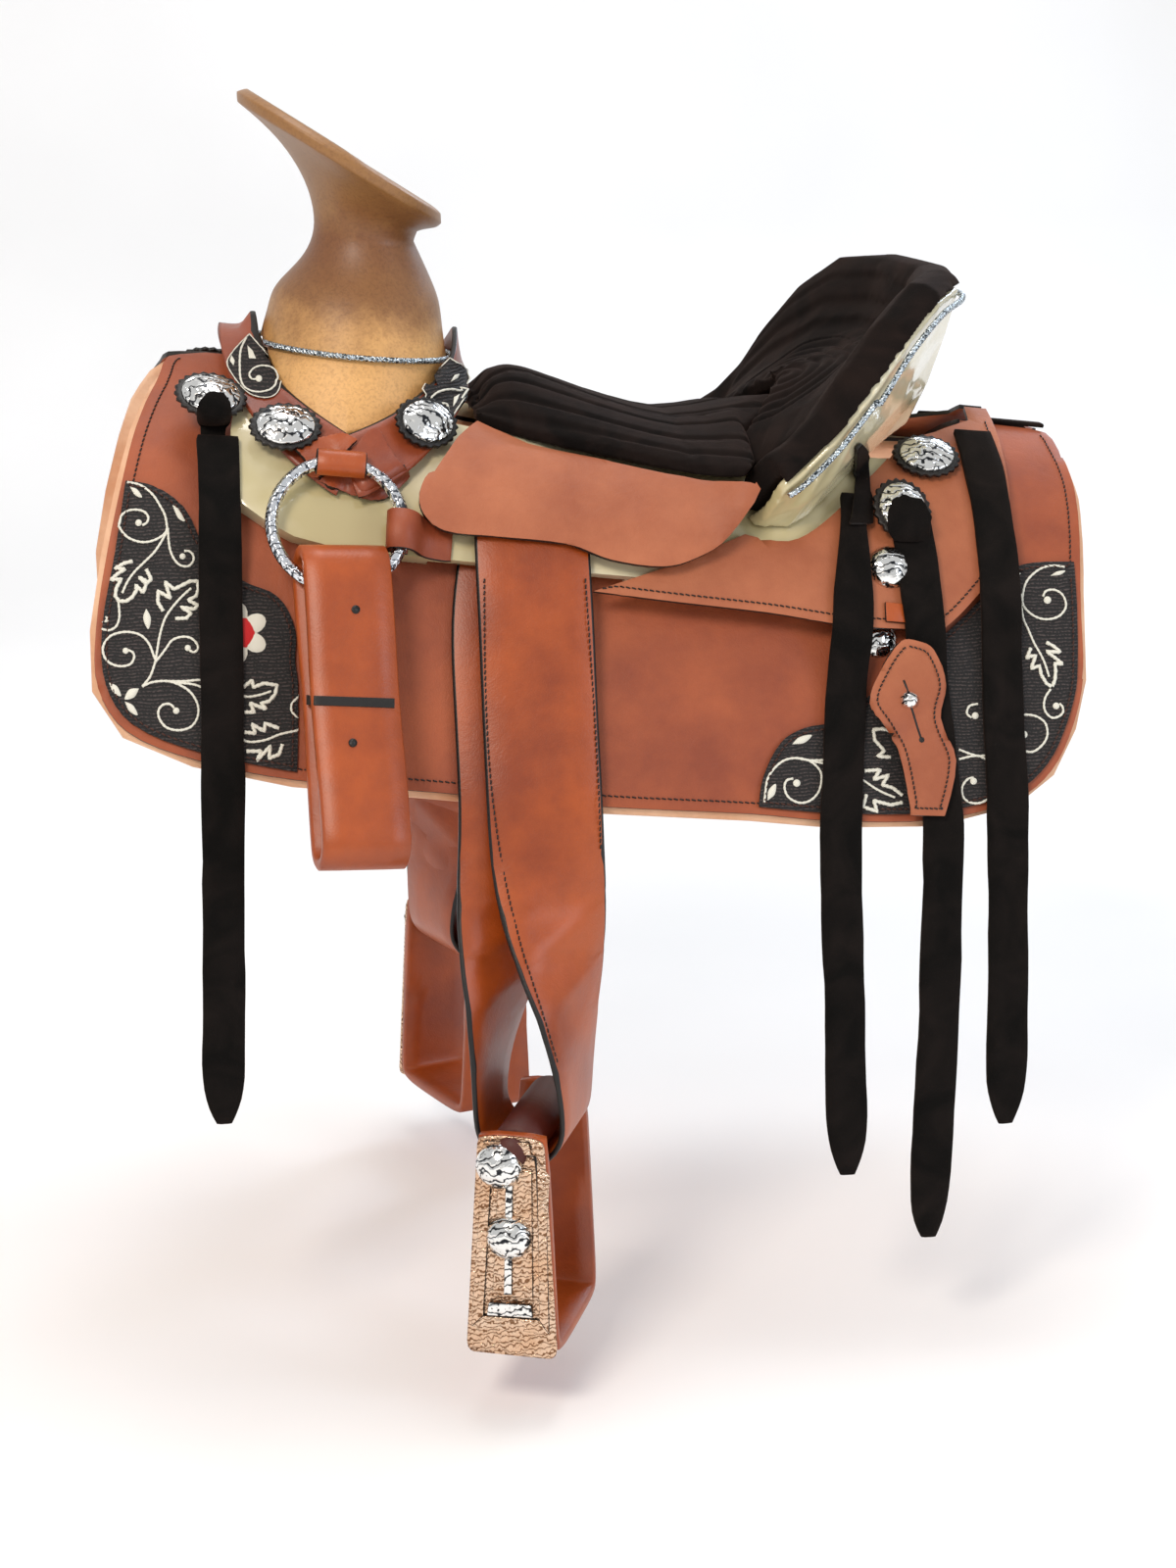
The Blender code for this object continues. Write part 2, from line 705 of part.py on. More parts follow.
def shell_section(u):
    t, b = CANTLE_THICKNESS, CANTLE_BULGE
    return [(0, 0, 0), (-b * 0.8, 0.35, 0), (-b * 0.6, 0.7, 0), (0, 1, 0), (t, 1, 0), (t - b * 0.6, 0.7, 0),
            (t - b * 0.8, 0.35, 0), (t, 0, 0)]


def pad_section(u, grow=0.0):
    t, rise = CANTLE_THICKNESS, CANTLE_PAD_RISE
    foot = 0.022 + 0.093 * (1 - abs(u)) ** 0.6
    thick = t + CANTLE_PAD_DEPTH
    back = -0.010 if grow else t + 4 * GAP
    lip = -0.010 if grow else 0.0006
    rows = [(back, 0.14, -grow), (back, 1, 8 * GAP), (lip, 1, 8 * GAP), (lip - 0.001, 1, rise * 0.5),
            (0.006, 1, rise * 0.95),
            (0.016, 1, rise + grow), (0.026, 1, rise * 0.4)]
    for share in (0.86, 0.70, 0.54):
        n = thick + (foot - thick) * (1 - share) ** 3
        rows += [(n, share + 0.04, 0), (n - CHANNEL_DEPTH, share, 0), (n, share - 0.04, 0)]
    rows += [(thick + (foot - thick) * 0.30, 0.34, grow), (foot * 0.80, 0.14, grow), (foot, 0.02, 0),
             (foot - 0.006, -0.04, -grow), (foot * 0.5, 0.02, -grow)]
    return [(n + (grow if n > t else 0), share, h) for n, share, h in rows]


def outside_shell(u):
    # What the jockey's upper edge keeps clear of
    b = CANTLE_BULGE
    return [(-GAP * 2, -0.30, 0), (-b * 0.8 - GAP * 2, 0.35, 0), (-b * 0.6, 0.8, 0), (0.060, 0.8, 0), (0.060, -0.30, 0)]


BODY_SPREAD = [math.sin(math.pi / 2 * (k / 8 - 1)) for k in range(17)]
shell = add("cantle_shell", loft([cantle_ring(u, shell_section) for u in BODY_SPREAD]), "lacquer", frame)
pad = add("cantle_pad", loft([cantle_ring(u, pad_section) for u in BODY_SPREAD]), "black_suede", frame)
envelope_rings = [cantle_ring(u, lambda v: pad_section(v, 0.0020)) for u in BODY_SPREAD]
for end, inner in ((0, 1), (-1, -2)):
    shift = sum(envelope_rings[end], Vector()) - sum(envelope_rings[inner], Vector())
    away = shift.normalized() * 0.030
    beyond = [p + away for p in envelope_rings[end]]
    envelope_rings = [beyond] + envelope_rings if end == 0 else envelope_rings + [beyond]
envelope = cutter("cantle_envelope", loft(envelope_rings), frame)
hollow = cutter("cantle_hollow", loft([cantle_ring(u, outside_shell) for u in BODY_SPREAD]), frame)
bed_outline = [(0.060, -0.012), (0.280, -0.012), (0.280, 0.240), (0.060, 0.240)]
for side, word in ((-1, "near"), (1, "off")):
    bed = cutter("cantle_bed_" + word, panel(bed_outline, -0.070, lambda x, s: bar_high(x, s) + 3 * GAP, side), frame)
    cut(shell, bed)
    cut(pad, bed)

stations = [SEAT_FRONT + (SEAT_SHOULDER - SEAT_FRONT) * (k / 12) ** 1.4 for k in range(13)]
stations += [SEAT_SHOULDER + (SEAT_REAR - SEAT_SHOULDER) * k for k in (0.11, 0.24, 0.6, 1)]
seat = add("seat_pad", loft([seat_row(x) for x in stations]), "black_suede", frame)
cut(seat, envelope)

cord = []
for u in BODY_SPREAD:
    base, up, inward, height = cantle_frame(u)
    cord.append(world(base + up * (height - 0.006) - inward * (CORD_RADIUS + GAP + 0.0020)))
wire("cantle_cord", cord, CORD_RADIUS, "silver", frame)

lace = [(world((x, 0, SKIRT_HIGH * 0.97 + 0.0013)), Vector((0, 1, 0)), 0.014) for x in (0.301, 0.323, 0.345)]
add("ridge_lacing", strap(lace, 0.003), "black_suede", frame)

# Flat patterns (x, s) of the leather panels, measured on the saddle
SKIRT_EDGE = [
    (SKIRT_FRONT + 0.042, 0.008), (SKIRT_FRONT + 0.026, 0.049), (SKIRT_FRONT + 0.014, 0.094),
    (SKIRT_FRONT + 0.007, 0.136), (SKIRT_FRONT, 0.188), (SKIRT_FRONT - 0.004, 0.242),
    (SKIRT_FRONT, SKIRT_DROP - 0.055), (SKIRT_FRONT + 0.021, SKIRT_DROP - 0.027),
    (SKIRT_FRONT + 0.068, SKIRT_DROP - 0.011), (-0.205, SKIRT_DROP - 0.002), (-0.105, SKIRT_DROP),
    (0.011, SKIRT_DROP + 0.002), (0.114, SKIRT_DROP), (0.170, SKIRT_DROP + 0.001), (0.248, SKIRT_DROP - 0.005),
    (SKIRT_REAR - 0.047, SKIRT_DROP - 0.023), (SKIRT_REAR - 0.022, SKIRT_DROP - 0.045),
    (SKIRT_REAR - 0.007, SKIRT_DROP - 0.078), (SKIRT_REAR, SKIRT_DROP - 0.113), (SKIRT_REAR - 0.002, 0.160),
    (SKIRT_REAR + 0.001, 0.083), (SKIRT_REAR - 0.002, 0.043), (SKIRT_REAR - 0.014, 0.006),
]
SKIRT_TOP = [(0.280, 0.0010, 1), (0.266, 0.058, 1), (-0.246, 0.058, 1), (-0.256, 0.0010, 1), (-0.280, 0.0010, 1)]


def grown(points, by):
    # The outline moved outwards by a margin, kept off the ridge
    moved = []
    for i, p in enumerate(points):
        a, b = points[i - 1], points[(i + 1) % len(points)]
        out = Vector((b[1] - a[1], a[0] - b[0])).normalized()
        centre = Vector((0.005, 0.17))
        if out.dot(Vector(p[:2]) - centre) < 0:
            out = -out
        moved.append((p[0] + out.x * by, max(p[1] + out.y * by, 0.0010)))
    return moved


SKIRT_OUTLINE = [p[:2] for p in SKIRT_EDGE] + [p[:2] for p in SKIRT_TOP]
FRONT_PATCH = smooth([
    (-0.331, 0.139, 1), (-0.316, 0.140), (-0.301, 0.146), (-0.288, 0.157), (-0.276, 0.178), (-0.249, 0.201),
    (-0.223, 0.211), (-0.210, 0.233), (-0.209, 0.254), (-0.206, 0.271), (-0.203, 0.330, 1), (-0.270, 0.321),
    (-0.316, 0.305), (-0.335, 0.280), (-0.340, 0.242), (-0.335, 0.190),
], 2)
REAR_PATCH = smooth([
    (0.344, 0.141, 1), (0.314, 0.144), (0.296, 0.151), (0.253, 0.196), (0.210, 0.235), (0.168, 0.269),
    (0.148, 0.275), (0.132, 0.286), (0.120, 0.312), (0.118, 0.332, 1), (0.170, 0.333), (0.247, 0.327),
    (0.302, 0.309), (0.325, 0.288), (0.339, 0.257), (0.346, 0.224),
], 2)
JOCKEY_OUTLINE = smooth([
    (0.099, 0.142, 1), (0.130, 0.146), (0.156, 0.131), (0.190, 0.096), (0.227, 0.055), (0.251, 0.041),
    (0.279, 0.023, 1), (0.281, 0.001, 1), (0.298, 0.001, 1), (0.298, 0.060), (0.297, 0.099), (0.290, 0.143),
    (0.261, 0.183), (0.244, 0.200, 1), (0.177, 0.204), (0.114, 0.200), (0.044, 0.197), (-0.008, 0.194, 1),
], 2)
BAR_OUTLINE = [
    (BAR_FRONT + 0.003, BAR_TOP_RUN), (BAR_FRONT, 0.104), (BAR_FRONT + 0.004, 0.150), (-0.236, 0.163),
    (-0.215, 0.172), (-0.182, BAR_LOW_RUN), (0.080, BAR_LOW_RUN), (0.180, 0.172), (0.250, 0.150),
    (BAR_REAR - 0.007, 0.122), (BAR_REAR, 0.095), (BAR_REAR - 0.006, BAR_TOP_RUN),
]
FLAP_LOWER = [
    (FLAP_REAR + 0.002, 0.122), (0.084, 0.151), (0.062, 0.165), (0.038, 0.173), (0.003, 0.171), (-0.028, 0.163),
    (-0.081, 0.163), (-0.114, 0.163), (-0.129, 0.154), (-0.132, 0.140), (-0.122, 0.125),
]
BILLET_OUTLINE = smooth([
    (0.210, 0.214), (0.197, 0.236), (0.192, 0.256), (0.203, 0.272), (0.214, 0.290), (0.224, 0.332, 1),
    (0.248, 0.331, 1), (0.255, 0.292), (0.243, 0.263), (0.246, 0.240), (0.234, 0.218), (0.222, 0.213),
], 2)

leather_x = LEATHER_X
slot_half = LEATHER_WIDTH / 2 + 0.008
turn_radius = (OUTER_LEATHER - INNER_LEATHER) / 2
slot_top = SLOT_RUN - turn_radius - LEATHER_THICKNESS / 2 - 0.010
SLOT = [
    (leather_x - slot_half, slot_top), (leather_x - slot_half, SLOT_RUN + 0.0075),
    (leather_x - 0.010, SLOT_RUN - 0.0015), (leather_x, SLOT_RUN - 0.0025), (leather_x + 0.010, SLOT_RUN - 0.0015),
    (leather_x + slot_half, SLOT_RUN + 0.0075), (leather_x + slot_half, slot_top),
]
CHANNEL = [
    (leather_x - slot_half + 0.001, slot_top + 0.008), (leather_x + slot_half - 0.001, slot_top + 0.008),
    (leather_x + slot_half + 0.024, BAR_LOW_RUN + 0.010), (leather_x - slot_half - 0.024, BAR_LOW_RUN + 0.010),
]


def body_frame(x, s, off, side):
    # Point over the body with its outward, downhill and lengthwise directions, in the world
    here = on_body(x, s, off, side)
    slope = section(s)[2]
    out = Vector((0, side * math.sin(slope), math.cos(slope)))
    down = Vector((0, side * math.cos(slope), -math.sin(slope)))
    spin = PITCH.to_3x3()
    return world(here), spin @ out, spin @ down, spin @ Vector((1, 0, 0))


def hung_tie(name, side, runs, tip, tip_y, parent):
    # A flat tie over the panels through (x, s, off) points, then hanging free to its tip
    lengthwise = PITCH.to_3x3() @ Vector((1, 0, 0))
    stations = [(world(on_body(x, s, off, side)), lengthwise,
                 TIE_WIDTH * (between((s - 0.11) / 0.08, 0.55, 1) if "cantle" in name else 1)) for x, s, off in runs]
    last = stations[-1][0]
    for k in range(1, 5):
        t = k / 4
        p = Vector((last.x + (tip[0] - last.x) * t, side * between(t * 1.6, abs(last.y), tip_y),
                    last.z + (tip[1] - last.z) * t))
        stations.append((p, lengthwise, TIE_WIDTH * (0.35 if k == 4 else 1)))
    stations.insert(-1, (stations[-1][0] + Vector((0, 0, 0.022)), lengthwise, TIE_WIDTH))
    return add(name, strap(stations, TIE_THICKNESS), "black_suede", parent)


def tie_over(label, x, s):
    # Height of a tie's middle over the body: on the bar or jockey above, on the skirt below
    if label == "front":
        return between((s - 0.165) / 0.045, bar_high(x, s) + 0.0012 + TIE_THICKNESS / 2, TIE_LOW)
    edge = 0.2045 if x < 0.255 else 0.184
    high = jockey_high(x - TIE_WIDTH * 0.55, 0) + 0.0013 + TIE_THICKNESS / 2
    return high if s <= edge + 0.001 else between((s - edge) / 0.032, high, TIE_LOW)


def billet_low(x, s):
    return between((s - 0.212) / 0.035, BILLET_TOP, BILLET_LOW)


def billet_high(x, s):
    return billet_low(x, s) + BILLET_THICKNESS


TIE_LOW = PATCH_HIGH + 0.0010 + TIE_THICKNESS / 2

for side, word in ((-1, "near"), (1, "off")):
    # Panels over the body
    lining_outline = grown(SKIRT_OUTLINE, LINING_MARGIN)
    add("skirt_lining_" + word, panel(lining_outline, 0, LINING_THICKNESS, side), "pale_leather", frame)
    add("skirt_" + word, panel(SKIRT_OUTLINE, SKIRT_LOW, SKIRT_HIGH, side), "tan_leather", frame)
    add("front_patch_" + word, panel(FRONT_PATCH, PATCH_LOW, PATCH_HIGH, side), "embroidered_suede", frame)
    add("rear_patch_" + word, panel(REAR_PATCH, PATCH_LOW, PATCH_HIGH, side), "embroidered_suede", frame)
    jockey = add("rear_jockey_" + word, panel(JOCKEY_OUTLINE, jockey_low, jockey_high, side),
                 "rose_leather", frame)
    cut(jockey, hollow)
    bar = add("tree_bar_" + word, panel(BAR_OUTLINE, BAR_LOW, bar_high, side, [SLOT]), "lacquer", frame)
    cut(bar, cutter("channel_" + word, panel(CHANNEL, BAR_LOW - 0.010, CHANNEL_ROOF, side), frame))

    # Stirrup leather: a closed loop from the bar's slot down round the stirrup's roller
    swing_at, swing_out, _, lengthwise = body_frame(leather_x, SLOT_RUN, OUTER_LEATHER, side)
    leather_body = pivot("stirrup_leather_pivot_" + word, swing_at)
    bolt = Vector((BOLT_X, side * BOLT_Y, BOLT_Z))
    yaw = math.radians(90 - STIRRUP_YAW_DEG)
    bolt_way = Vector((math.cos(yaw), -side * math.sin(yaw), 0))
    facing = Vector((math.sin(yaw), side * math.cos(yaw), 0))
    turn_at, turn_out, turn_down, _ = body_frame(leather_x, SLOT_RUN, (OUTER_LEATHER + INNER_LEATHER) / 2, side)
    stations = []
    for k in range(5):
        a = math.pi * k / 4
        p = turn_at + turn_radius * (-turn_out * math.cos(a) - turn_down * math.sin(a))
        stations.append((p, lengthwise, LEATHER_WIDTH))
    lay_runs = [0.121] + [s for s in fold_runs() if 0.125 < s < 0.34] + [0.345]
    layers = []
    for outer in (True, False):
        layer = []
        for s in lay_runs:
            x = leather_x + 0.105 * max(s - 0.16, 0) - (0 if outer else 0.018 * ease((s - 0.13) / 0.08))
            off = between((s - 0.18) / 0.10, OUTER_LEATHER, 0.024) if outer else INNER_LEATHER
            layer.append((world(on_body(x, s, off, side)), lengthwise, LEATHER_WIDTH))
        layers.append(layer)
    outer_end, inner_end = layers[0][-1][0], layers[1][-1][0]
    middle = (outer_end + inner_end) / 2
    spread = (outer_end - inner_end).length / 2
    start_out = (outer_end - inner_end).normalized()
    loop_centre = bolt + Vector((0, 0, LEATHER_LOOP_RADIUS - ROLLER_RADIUS - LEATHER_THICKNESS / 2 - ROLLER_PLAY))
    hanging = []
    for k in range(1, 6):
        t = k / 6
        out = (start_out * (1 - ease(t)) + facing * ease(t)).normalized()
        across = (lengthwise * (1 - ease(t)) + bolt_way * ease(t)).normalized()
        centre = Vector((between(t, middle.x, loop_centre.x), side * between(t, abs(middle.y), BOLT_Y),
                         middle.z + (loop_centre.z - middle.z) * t))
        hanging.append((centre, out, across, between(t, spread, LEATHER_LOOP_RADIUS)))
    stations += layers[0]
    stations += [(c + out * gap, across, LEATHER_WIDTH) for c, out, across, gap in hanging]
    for k in range(9):
        a = math.pi * k / 8
        p = loop_centre + LEATHER_LOOP_RADIUS * (facing * math.cos(a) - Vector((0, 0, 1)) * math.sin(a))
        stations.append((p, bolt_way, LEATHER_WIDTH))
    stations += [(c - out * gap, across, LEATHER_WIDTH) for c, out, across, gap in reversed(hanging)]
    stations += list(reversed(layers[1]))
    add("stirrup_leather_" + word, strap(stations, LEATHER_THICKNESS, closed=True), "orange_leather", leather_body)

    # Stirrup: a flat-walled U with a silver outer face, turning on the bolt inside the roller
    stirrup_body = pivot("stirrup_pivot_" + word, bolt, parent=leather_body)
    half = STIRRUP_WIDTH / 2 - STIRRUP_WALL / 2
    top = BOLT_DROP
    low = top - STIRRUP_HEIGHT + STIRRUP_WALL / 2
    grow = (STIRRUP_TREAD_BREADTH - STIRRUP_TOP_BREADTH) / (low - top)
    path = [(-half, top), (-half, top - 0.040), (-half, low + 0.045), (-half, low + 0.012),
            (-half + 0.0035, low + 0.0035), (-half + 0.012, low), (0, low)]
    path += [(-w, z) for w, z in reversed(path[:-1])]
    stations = [(bolt - bolt_way * w + Vector((0, 0, z)), facing, STIRRUP_TOP_BREADTH + grow * (z - top))
                for w, z in path]
    stirrup = add("stirrup_frame_" + word, strap(stations, STIRRUP_WALL), "orange_leather", stirrup_body)
    plate = []
    for skin in (0, 1):
        ring = []
        for z, trim in ((top, 0.006), (top - 0.004, 0.001), (low + 0.001, 0.0), (low - 0.003, 0.004)):
            reach = (STIRRUP_TOP_BREADTH + grow * (z - top)) / 2 - trim
            ring.append((reach, z))
        outline = ring + [(-reach, z) for reach, z in reversed(ring)]
        out = STIRRUP_WIDTH / 2 + GAP + skin * FACE_THICKNESS
        plate.append([bolt - bolt_way * out + facing * reach + Vector((0, 0, z)) for reach, z in outline])
    face = add("stirrup_face_" + word, loft(plate), "silver", stirrup_body)
    bore = bmesh.new()
    bmesh.ops.create_cone(bore, cap_ends=True, segments=16, radius1=BOLT_RADIUS + GAP, radius2=BOLT_RADIUS + GAP,
                          depth=STIRRUP_WIDTH * 1.5)
    turn = bolt_way.to_track_quat("Z", "Y").to_matrix().to_4x4()
    bmesh.ops.transform(bore, matrix=Matrix.Translation(bolt) @ turn, verts=bore.verts)
    bore = cutter("bolt_bore_" + word, bore, stirrup_body)
    cut(stirrup, bore)
    cut(face, bore)
    outer = STIRRUP_WIDTH / 2 + FACE_THICKNESS + 2 * GAP
    inner = STIRRUP_WIDTH / 2 + GAP
    roll = STIRRUP_WIDTH / 2 - STIRRUP_WALL - GAP
    d = BOLT_DOME_RADIUS
    profile = [(0, outer + 0.5 * d), (0.6 * d, outer + 0.4 * d), (0.9 * d, outer + 0.2 * d), (d, outer),
               (BOLT_RADIUS, outer), (BOLT_RADIUS, roll), (ROLLER_RADIUS, roll), (ROLLER_RADIUS, -roll),
               (BOLT_RADIUS, -roll), (BOLT_RADIUS, -inner), (d, -inner), (0.9 * d, -inner - 0.2 * d),
               (0.6 * d, -inner - 0.4 * d), (0, -inner - 0.5 * d)]
    turned("stirrup_bolt_" + word, profile, bolt, -bolt_way, "silver", stirrup_body, 16)

    # Rigging: the ring in the collar's loop, its strap to the bar and the latigo hanging from it
    ring_at, ring_out, ring_down, _ = body_frame(RING_X, RING_RUN, RING_LIFT, side)
    turns = [2 * math.pi * k / 28 for k in range(28)]
    hoop = [ring_at + RING_RADIUS * (ring_down * math.cos(a) + lengthwise * math.sin(a)) for a in turns]
    wire("rigging_ring_" + word, hoop, RING_WIRE, "silver", frame, cyclic=True)
    loop_at = ring_at - ring_down * RING_RADIUS
    hold = RING_WIRE + GAP + 0.0003 + LOOP_WALL / 2
    sag = RING_RADIUS - math.sqrt(RING_RADIUS**2 - LOOP_WIDTH**2 / 4)
    points = [(-hold, -0.002), (-hold * 0.7, -hold * 0.8), (0, -hold - 0.0005), (hold * 0.7, -hold * 0.8),
              (hold, -0.002), (hold, sag + 0.002), (hold * 0.7, sag + hold * 0.8), (0, sag + hold + 0.0005),
              (-hold * 0.7, sag + hold * 0.8), (-hold, sag + 0.002)]
    stations = [(loop_at + ring_out * n + ring_down * d, lengthwise, LOOP_WIDTH) for n, d in points]
    add("collar_loop_" + word, strap(stations, LOOP_WALL, closed=True), "orange_leather", frame)
    wire_x, reach = RING_X + RING_RADIUS, 0.0037
    hold = RING_WIRE + GAP + 0.0008 + RIGGING_THICKNESS / 2
    points = [(wire_x + 0.0040, RING_LIFT - hold), (wire_x, RING_LIFT - hold),
              (wire_x - reach, RING_LIFT - hold), (wire_x - reach - hold * 0.75, RING_LIFT - hold * 0.75),
              (wire_x - reach - hold - 0.0004, RING_LIFT), (wire_x - reach - hold * 0.75, RING_LIFT + hold * 0.75),
              (wire_x - reach, RING_LIFT + hold), (wire_x, RING_LIFT + hold),
              (wire_x + 0.0045, RING_LIFT + hold * 0.75), (wire_x + 0.0090, RING_LIFT - 0.0005),
              (wire_x + 0.0120, 0.0355), (wire_x + 0.0180, 0.0318), (wire_x + 0.0255, 0.0300),
              (wire_x + 0.0345, 0.0298)]
    stations = [(world(on_body(x, RING_RUN, off, side)), ring_down, RIGGING_WIDTH) for x, off in points]
    add("rigging_strap_" + word, strap(stations, RIGGING_THICKNESS), "tan_leather", frame)
    latigo_body = pivot("latigo_pivot_" + word, ring_at)
    drop = (Vector((0, 0, -1)) - ring_out * Vector((0, 0, -1)).dot(ring_out)).normalized()
    wide = drop.cross(ring_out).normalized()
    tilt = Matrix.Rotation(math.radians(LATIGO_YAW_DEG) * side, 3, drop)
    wide, deep = tilt @ wide, tilt @ ring_out
    head = ring_at + drop * (RING_RADIUS - LATIGO_HEAD)
    bend = LATIGO_DEPTH / 2 - LATIGO_WALL / 2
    length = LATIGO_LENGTH - LATIGO_WALL
    points = []
    for k in range(7):
        a = math.pi * k / 6
        points.append((-bend * math.cos(a), bend - bend * math.sin(a)))
    points += [(bend * 0.85, length * 0.33), (bend * 0.62, length * 0.5), (bend * 0.85, length * 0.67)]
    for k in range(7):
        a = math.pi * k / 6
        points.append((bend * math.cos(a), length - bend + bend * math.sin(a)))
    points += [(-bend * 0.85, length * 0.67), (-bend * 0.62, length * 0.5), (-bend * 0.85, length * 0.33)]
    stations = [(head + deep * n + drop * (d + LATIGO_WALL / 2), wide, LATIGO_WIDTH) for n, d in points]
    add("latigo_" + word, strap(stations, LATIGO_WALL, closed=True), "orange_leather", latigo_body)

    # Seat flap, lifting about its upper edge
    crest = [FLAP_REAR + (SEAT_FRONT - FLAP_REAR) * k / 5 for k in range(6)]
    upper = [(x, flap_top(x)[0]) for x in crest]
    first = world(on_body(upper[0][0], upper[0][1], flap_top(crest[0])[1], side))
    last = world(on_body(upper[-1][0], upper[-1][1], flap_top(crest[-1])[1], side))
    flap_body = pivot("seat_flap_pivot_" + word, (first + last) / 2)
    outline = upper[::-1] + smooth(FLAP_LOWER, 2, closed=False)
    add("seat_flap_" + word, panel(outline, flap_low, flap_high, side), "rose_leather", flap_body)

    # Billet hanging below the jockey
    at = body_frame(0.216, 0.213, billet_low(0, 0.213) + BILLET_THICKNESS, side)[0]
    billet_body = pivot("billet_pivot_" + word, at)
    add("billet_" + word, panel(BILLET_OUTLINE, billet_low, billet_high, side),
        "rose_leather", billet_body)

    # Ties
    for label, top, x_top, x_hem, hem, tip, tip_y, swings in (
            ("front", 0.112, -0.2705, -0.2530, 0.333, (-0.284, -0.466), 0.222, False),
            ("cantle", 0.112, 0.1765, 0.1755, 0.343, (0.155, -0.527), 0.222, False),
            ("middle", 0.108, 0.2160, 0.2505, 0.338, (0.215, -0.577), 0.224, True),
            ("rear", 0.044, 0.2765, 0.2960, 0.325, (0.271, -0.496), 0.218, False)):
        lay = [top] + [s for s in fold_runs() if top + 0.004 < s < hem - 0.004] + [hem]
        if label != "front":
            edge = 0.2045 if x_top < 0.25 else 0.184
            lay = sorted([s for s in lay if s < edge - 0.008 or s > edge + 0.040] + [edge, edge + 0.016, edge + 0.034])
        runs = []
        for s in lay:
            x = x_top + (x_hem - x_top) * (s - top) / (hem - top)
            runs.append((x, s, tie_over(label, x, s)))
        at = body_frame(runs[0][0], top + (0.014 if swings else 0), runs[0][2] + TIE_THICKNESS / 2, side)[0]
        tie_body = pivot("tie_" + label + "_pivot_" + word, at)
        hem_point = world(on_body(*runs[-1], side))
        tip_z = tip[1] if side < 0 else max(tip[1], hem_point.z - OFF_TIE_HANG)
        hung_tie("tie_" + label + "_" + word, side, runs, (tip[0], tip_z), tip_y, tie_body)

    # Conchos
    on_bar, on_jockey = bar_high(BAR_FRONT, 0) + COLLAR_THICKNESS + 0.0035, jockey_high(0.213, 0) + 6 * GAP
    on_tie = tie_over("middle", 0.216, 0.12) + TIE_THICKNESS / 2 + POST_GAP
    for label, x, s, off, seat_off in (("front", -0.277, 0.085, on_bar, SKIRT_HIGH),
                                       ("rear_upper", 0.2365, 0.074, on_jockey, jockey_high(0.2365, 0)),
                                       ("rear_middle", 0.212, 0.122, on_tie, on_tie - 1.5 * POST_GAP)):
        at, out, _, _ = body_frame(x, s, off, side)
        concho("concho_" + label + "_" + word, at, out, CONCHO_RADIUS, CONCHO_RISE, frame, off - seat_off - POST_GAP)
    for label, angle in (("collar_front", math.pi - side * math.radians(66)),
                         ("collar_rear", side * math.radians(59))):
        turn = angle - math.pi if label == "collar_front" else angle
        z = collar_height(turn, COLLAR_FRONT if label == "collar_front" else COLLAR_REAR)
        z += 0 if label == "collar_front" else 0.006
        lift = STRAP_LIFT if label == "collar_front" else collar_lift(turn)
        here = drape(angle, z, lift + COLLAR_THICKNESS + CONCHO_LIFT)
        above = drape(angle, z + 0.015, lift) - drape(angle, z - 0.015, lift)
        beside = drape(angle + 0.05, z, lift) - drape(angle - 0.05, z, lift)
        out = beside.cross(above).normalized()
        concho("concho_" + label + "_" + word, world(here), PITCH.to_3x3() @ out, CONCHO_RADIUS, CONCHO_RISE, frame,
               CONCHO_LIFT - 2 * POST_GAP, COLLAR_CONCHO_SQUEEZE)
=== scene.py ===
import bmesh
import bpy
import json
import math
from mathutils import Matrix, Vector
from mathutils.bvhtree import BVHTree

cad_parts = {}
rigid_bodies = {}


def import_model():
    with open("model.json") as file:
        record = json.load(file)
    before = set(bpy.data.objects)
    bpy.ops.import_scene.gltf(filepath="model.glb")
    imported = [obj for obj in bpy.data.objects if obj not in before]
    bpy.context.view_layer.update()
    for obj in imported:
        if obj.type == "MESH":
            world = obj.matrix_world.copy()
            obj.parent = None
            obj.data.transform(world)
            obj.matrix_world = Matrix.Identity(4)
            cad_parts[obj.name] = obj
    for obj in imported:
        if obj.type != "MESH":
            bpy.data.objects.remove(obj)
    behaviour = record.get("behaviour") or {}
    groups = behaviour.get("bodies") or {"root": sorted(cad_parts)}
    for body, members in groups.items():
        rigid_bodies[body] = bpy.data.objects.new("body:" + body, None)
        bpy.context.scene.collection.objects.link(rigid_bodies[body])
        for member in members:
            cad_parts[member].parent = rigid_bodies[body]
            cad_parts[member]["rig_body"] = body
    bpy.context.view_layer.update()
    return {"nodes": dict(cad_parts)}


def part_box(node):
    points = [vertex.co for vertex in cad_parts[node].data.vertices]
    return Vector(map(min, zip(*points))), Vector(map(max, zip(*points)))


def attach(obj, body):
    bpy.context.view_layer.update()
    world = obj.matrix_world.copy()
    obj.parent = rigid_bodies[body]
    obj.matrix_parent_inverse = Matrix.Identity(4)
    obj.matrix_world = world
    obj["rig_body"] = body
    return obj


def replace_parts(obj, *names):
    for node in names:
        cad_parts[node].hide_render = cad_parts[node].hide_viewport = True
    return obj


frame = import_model()
nodes = frame["nodes"]
words = ("near", "off")

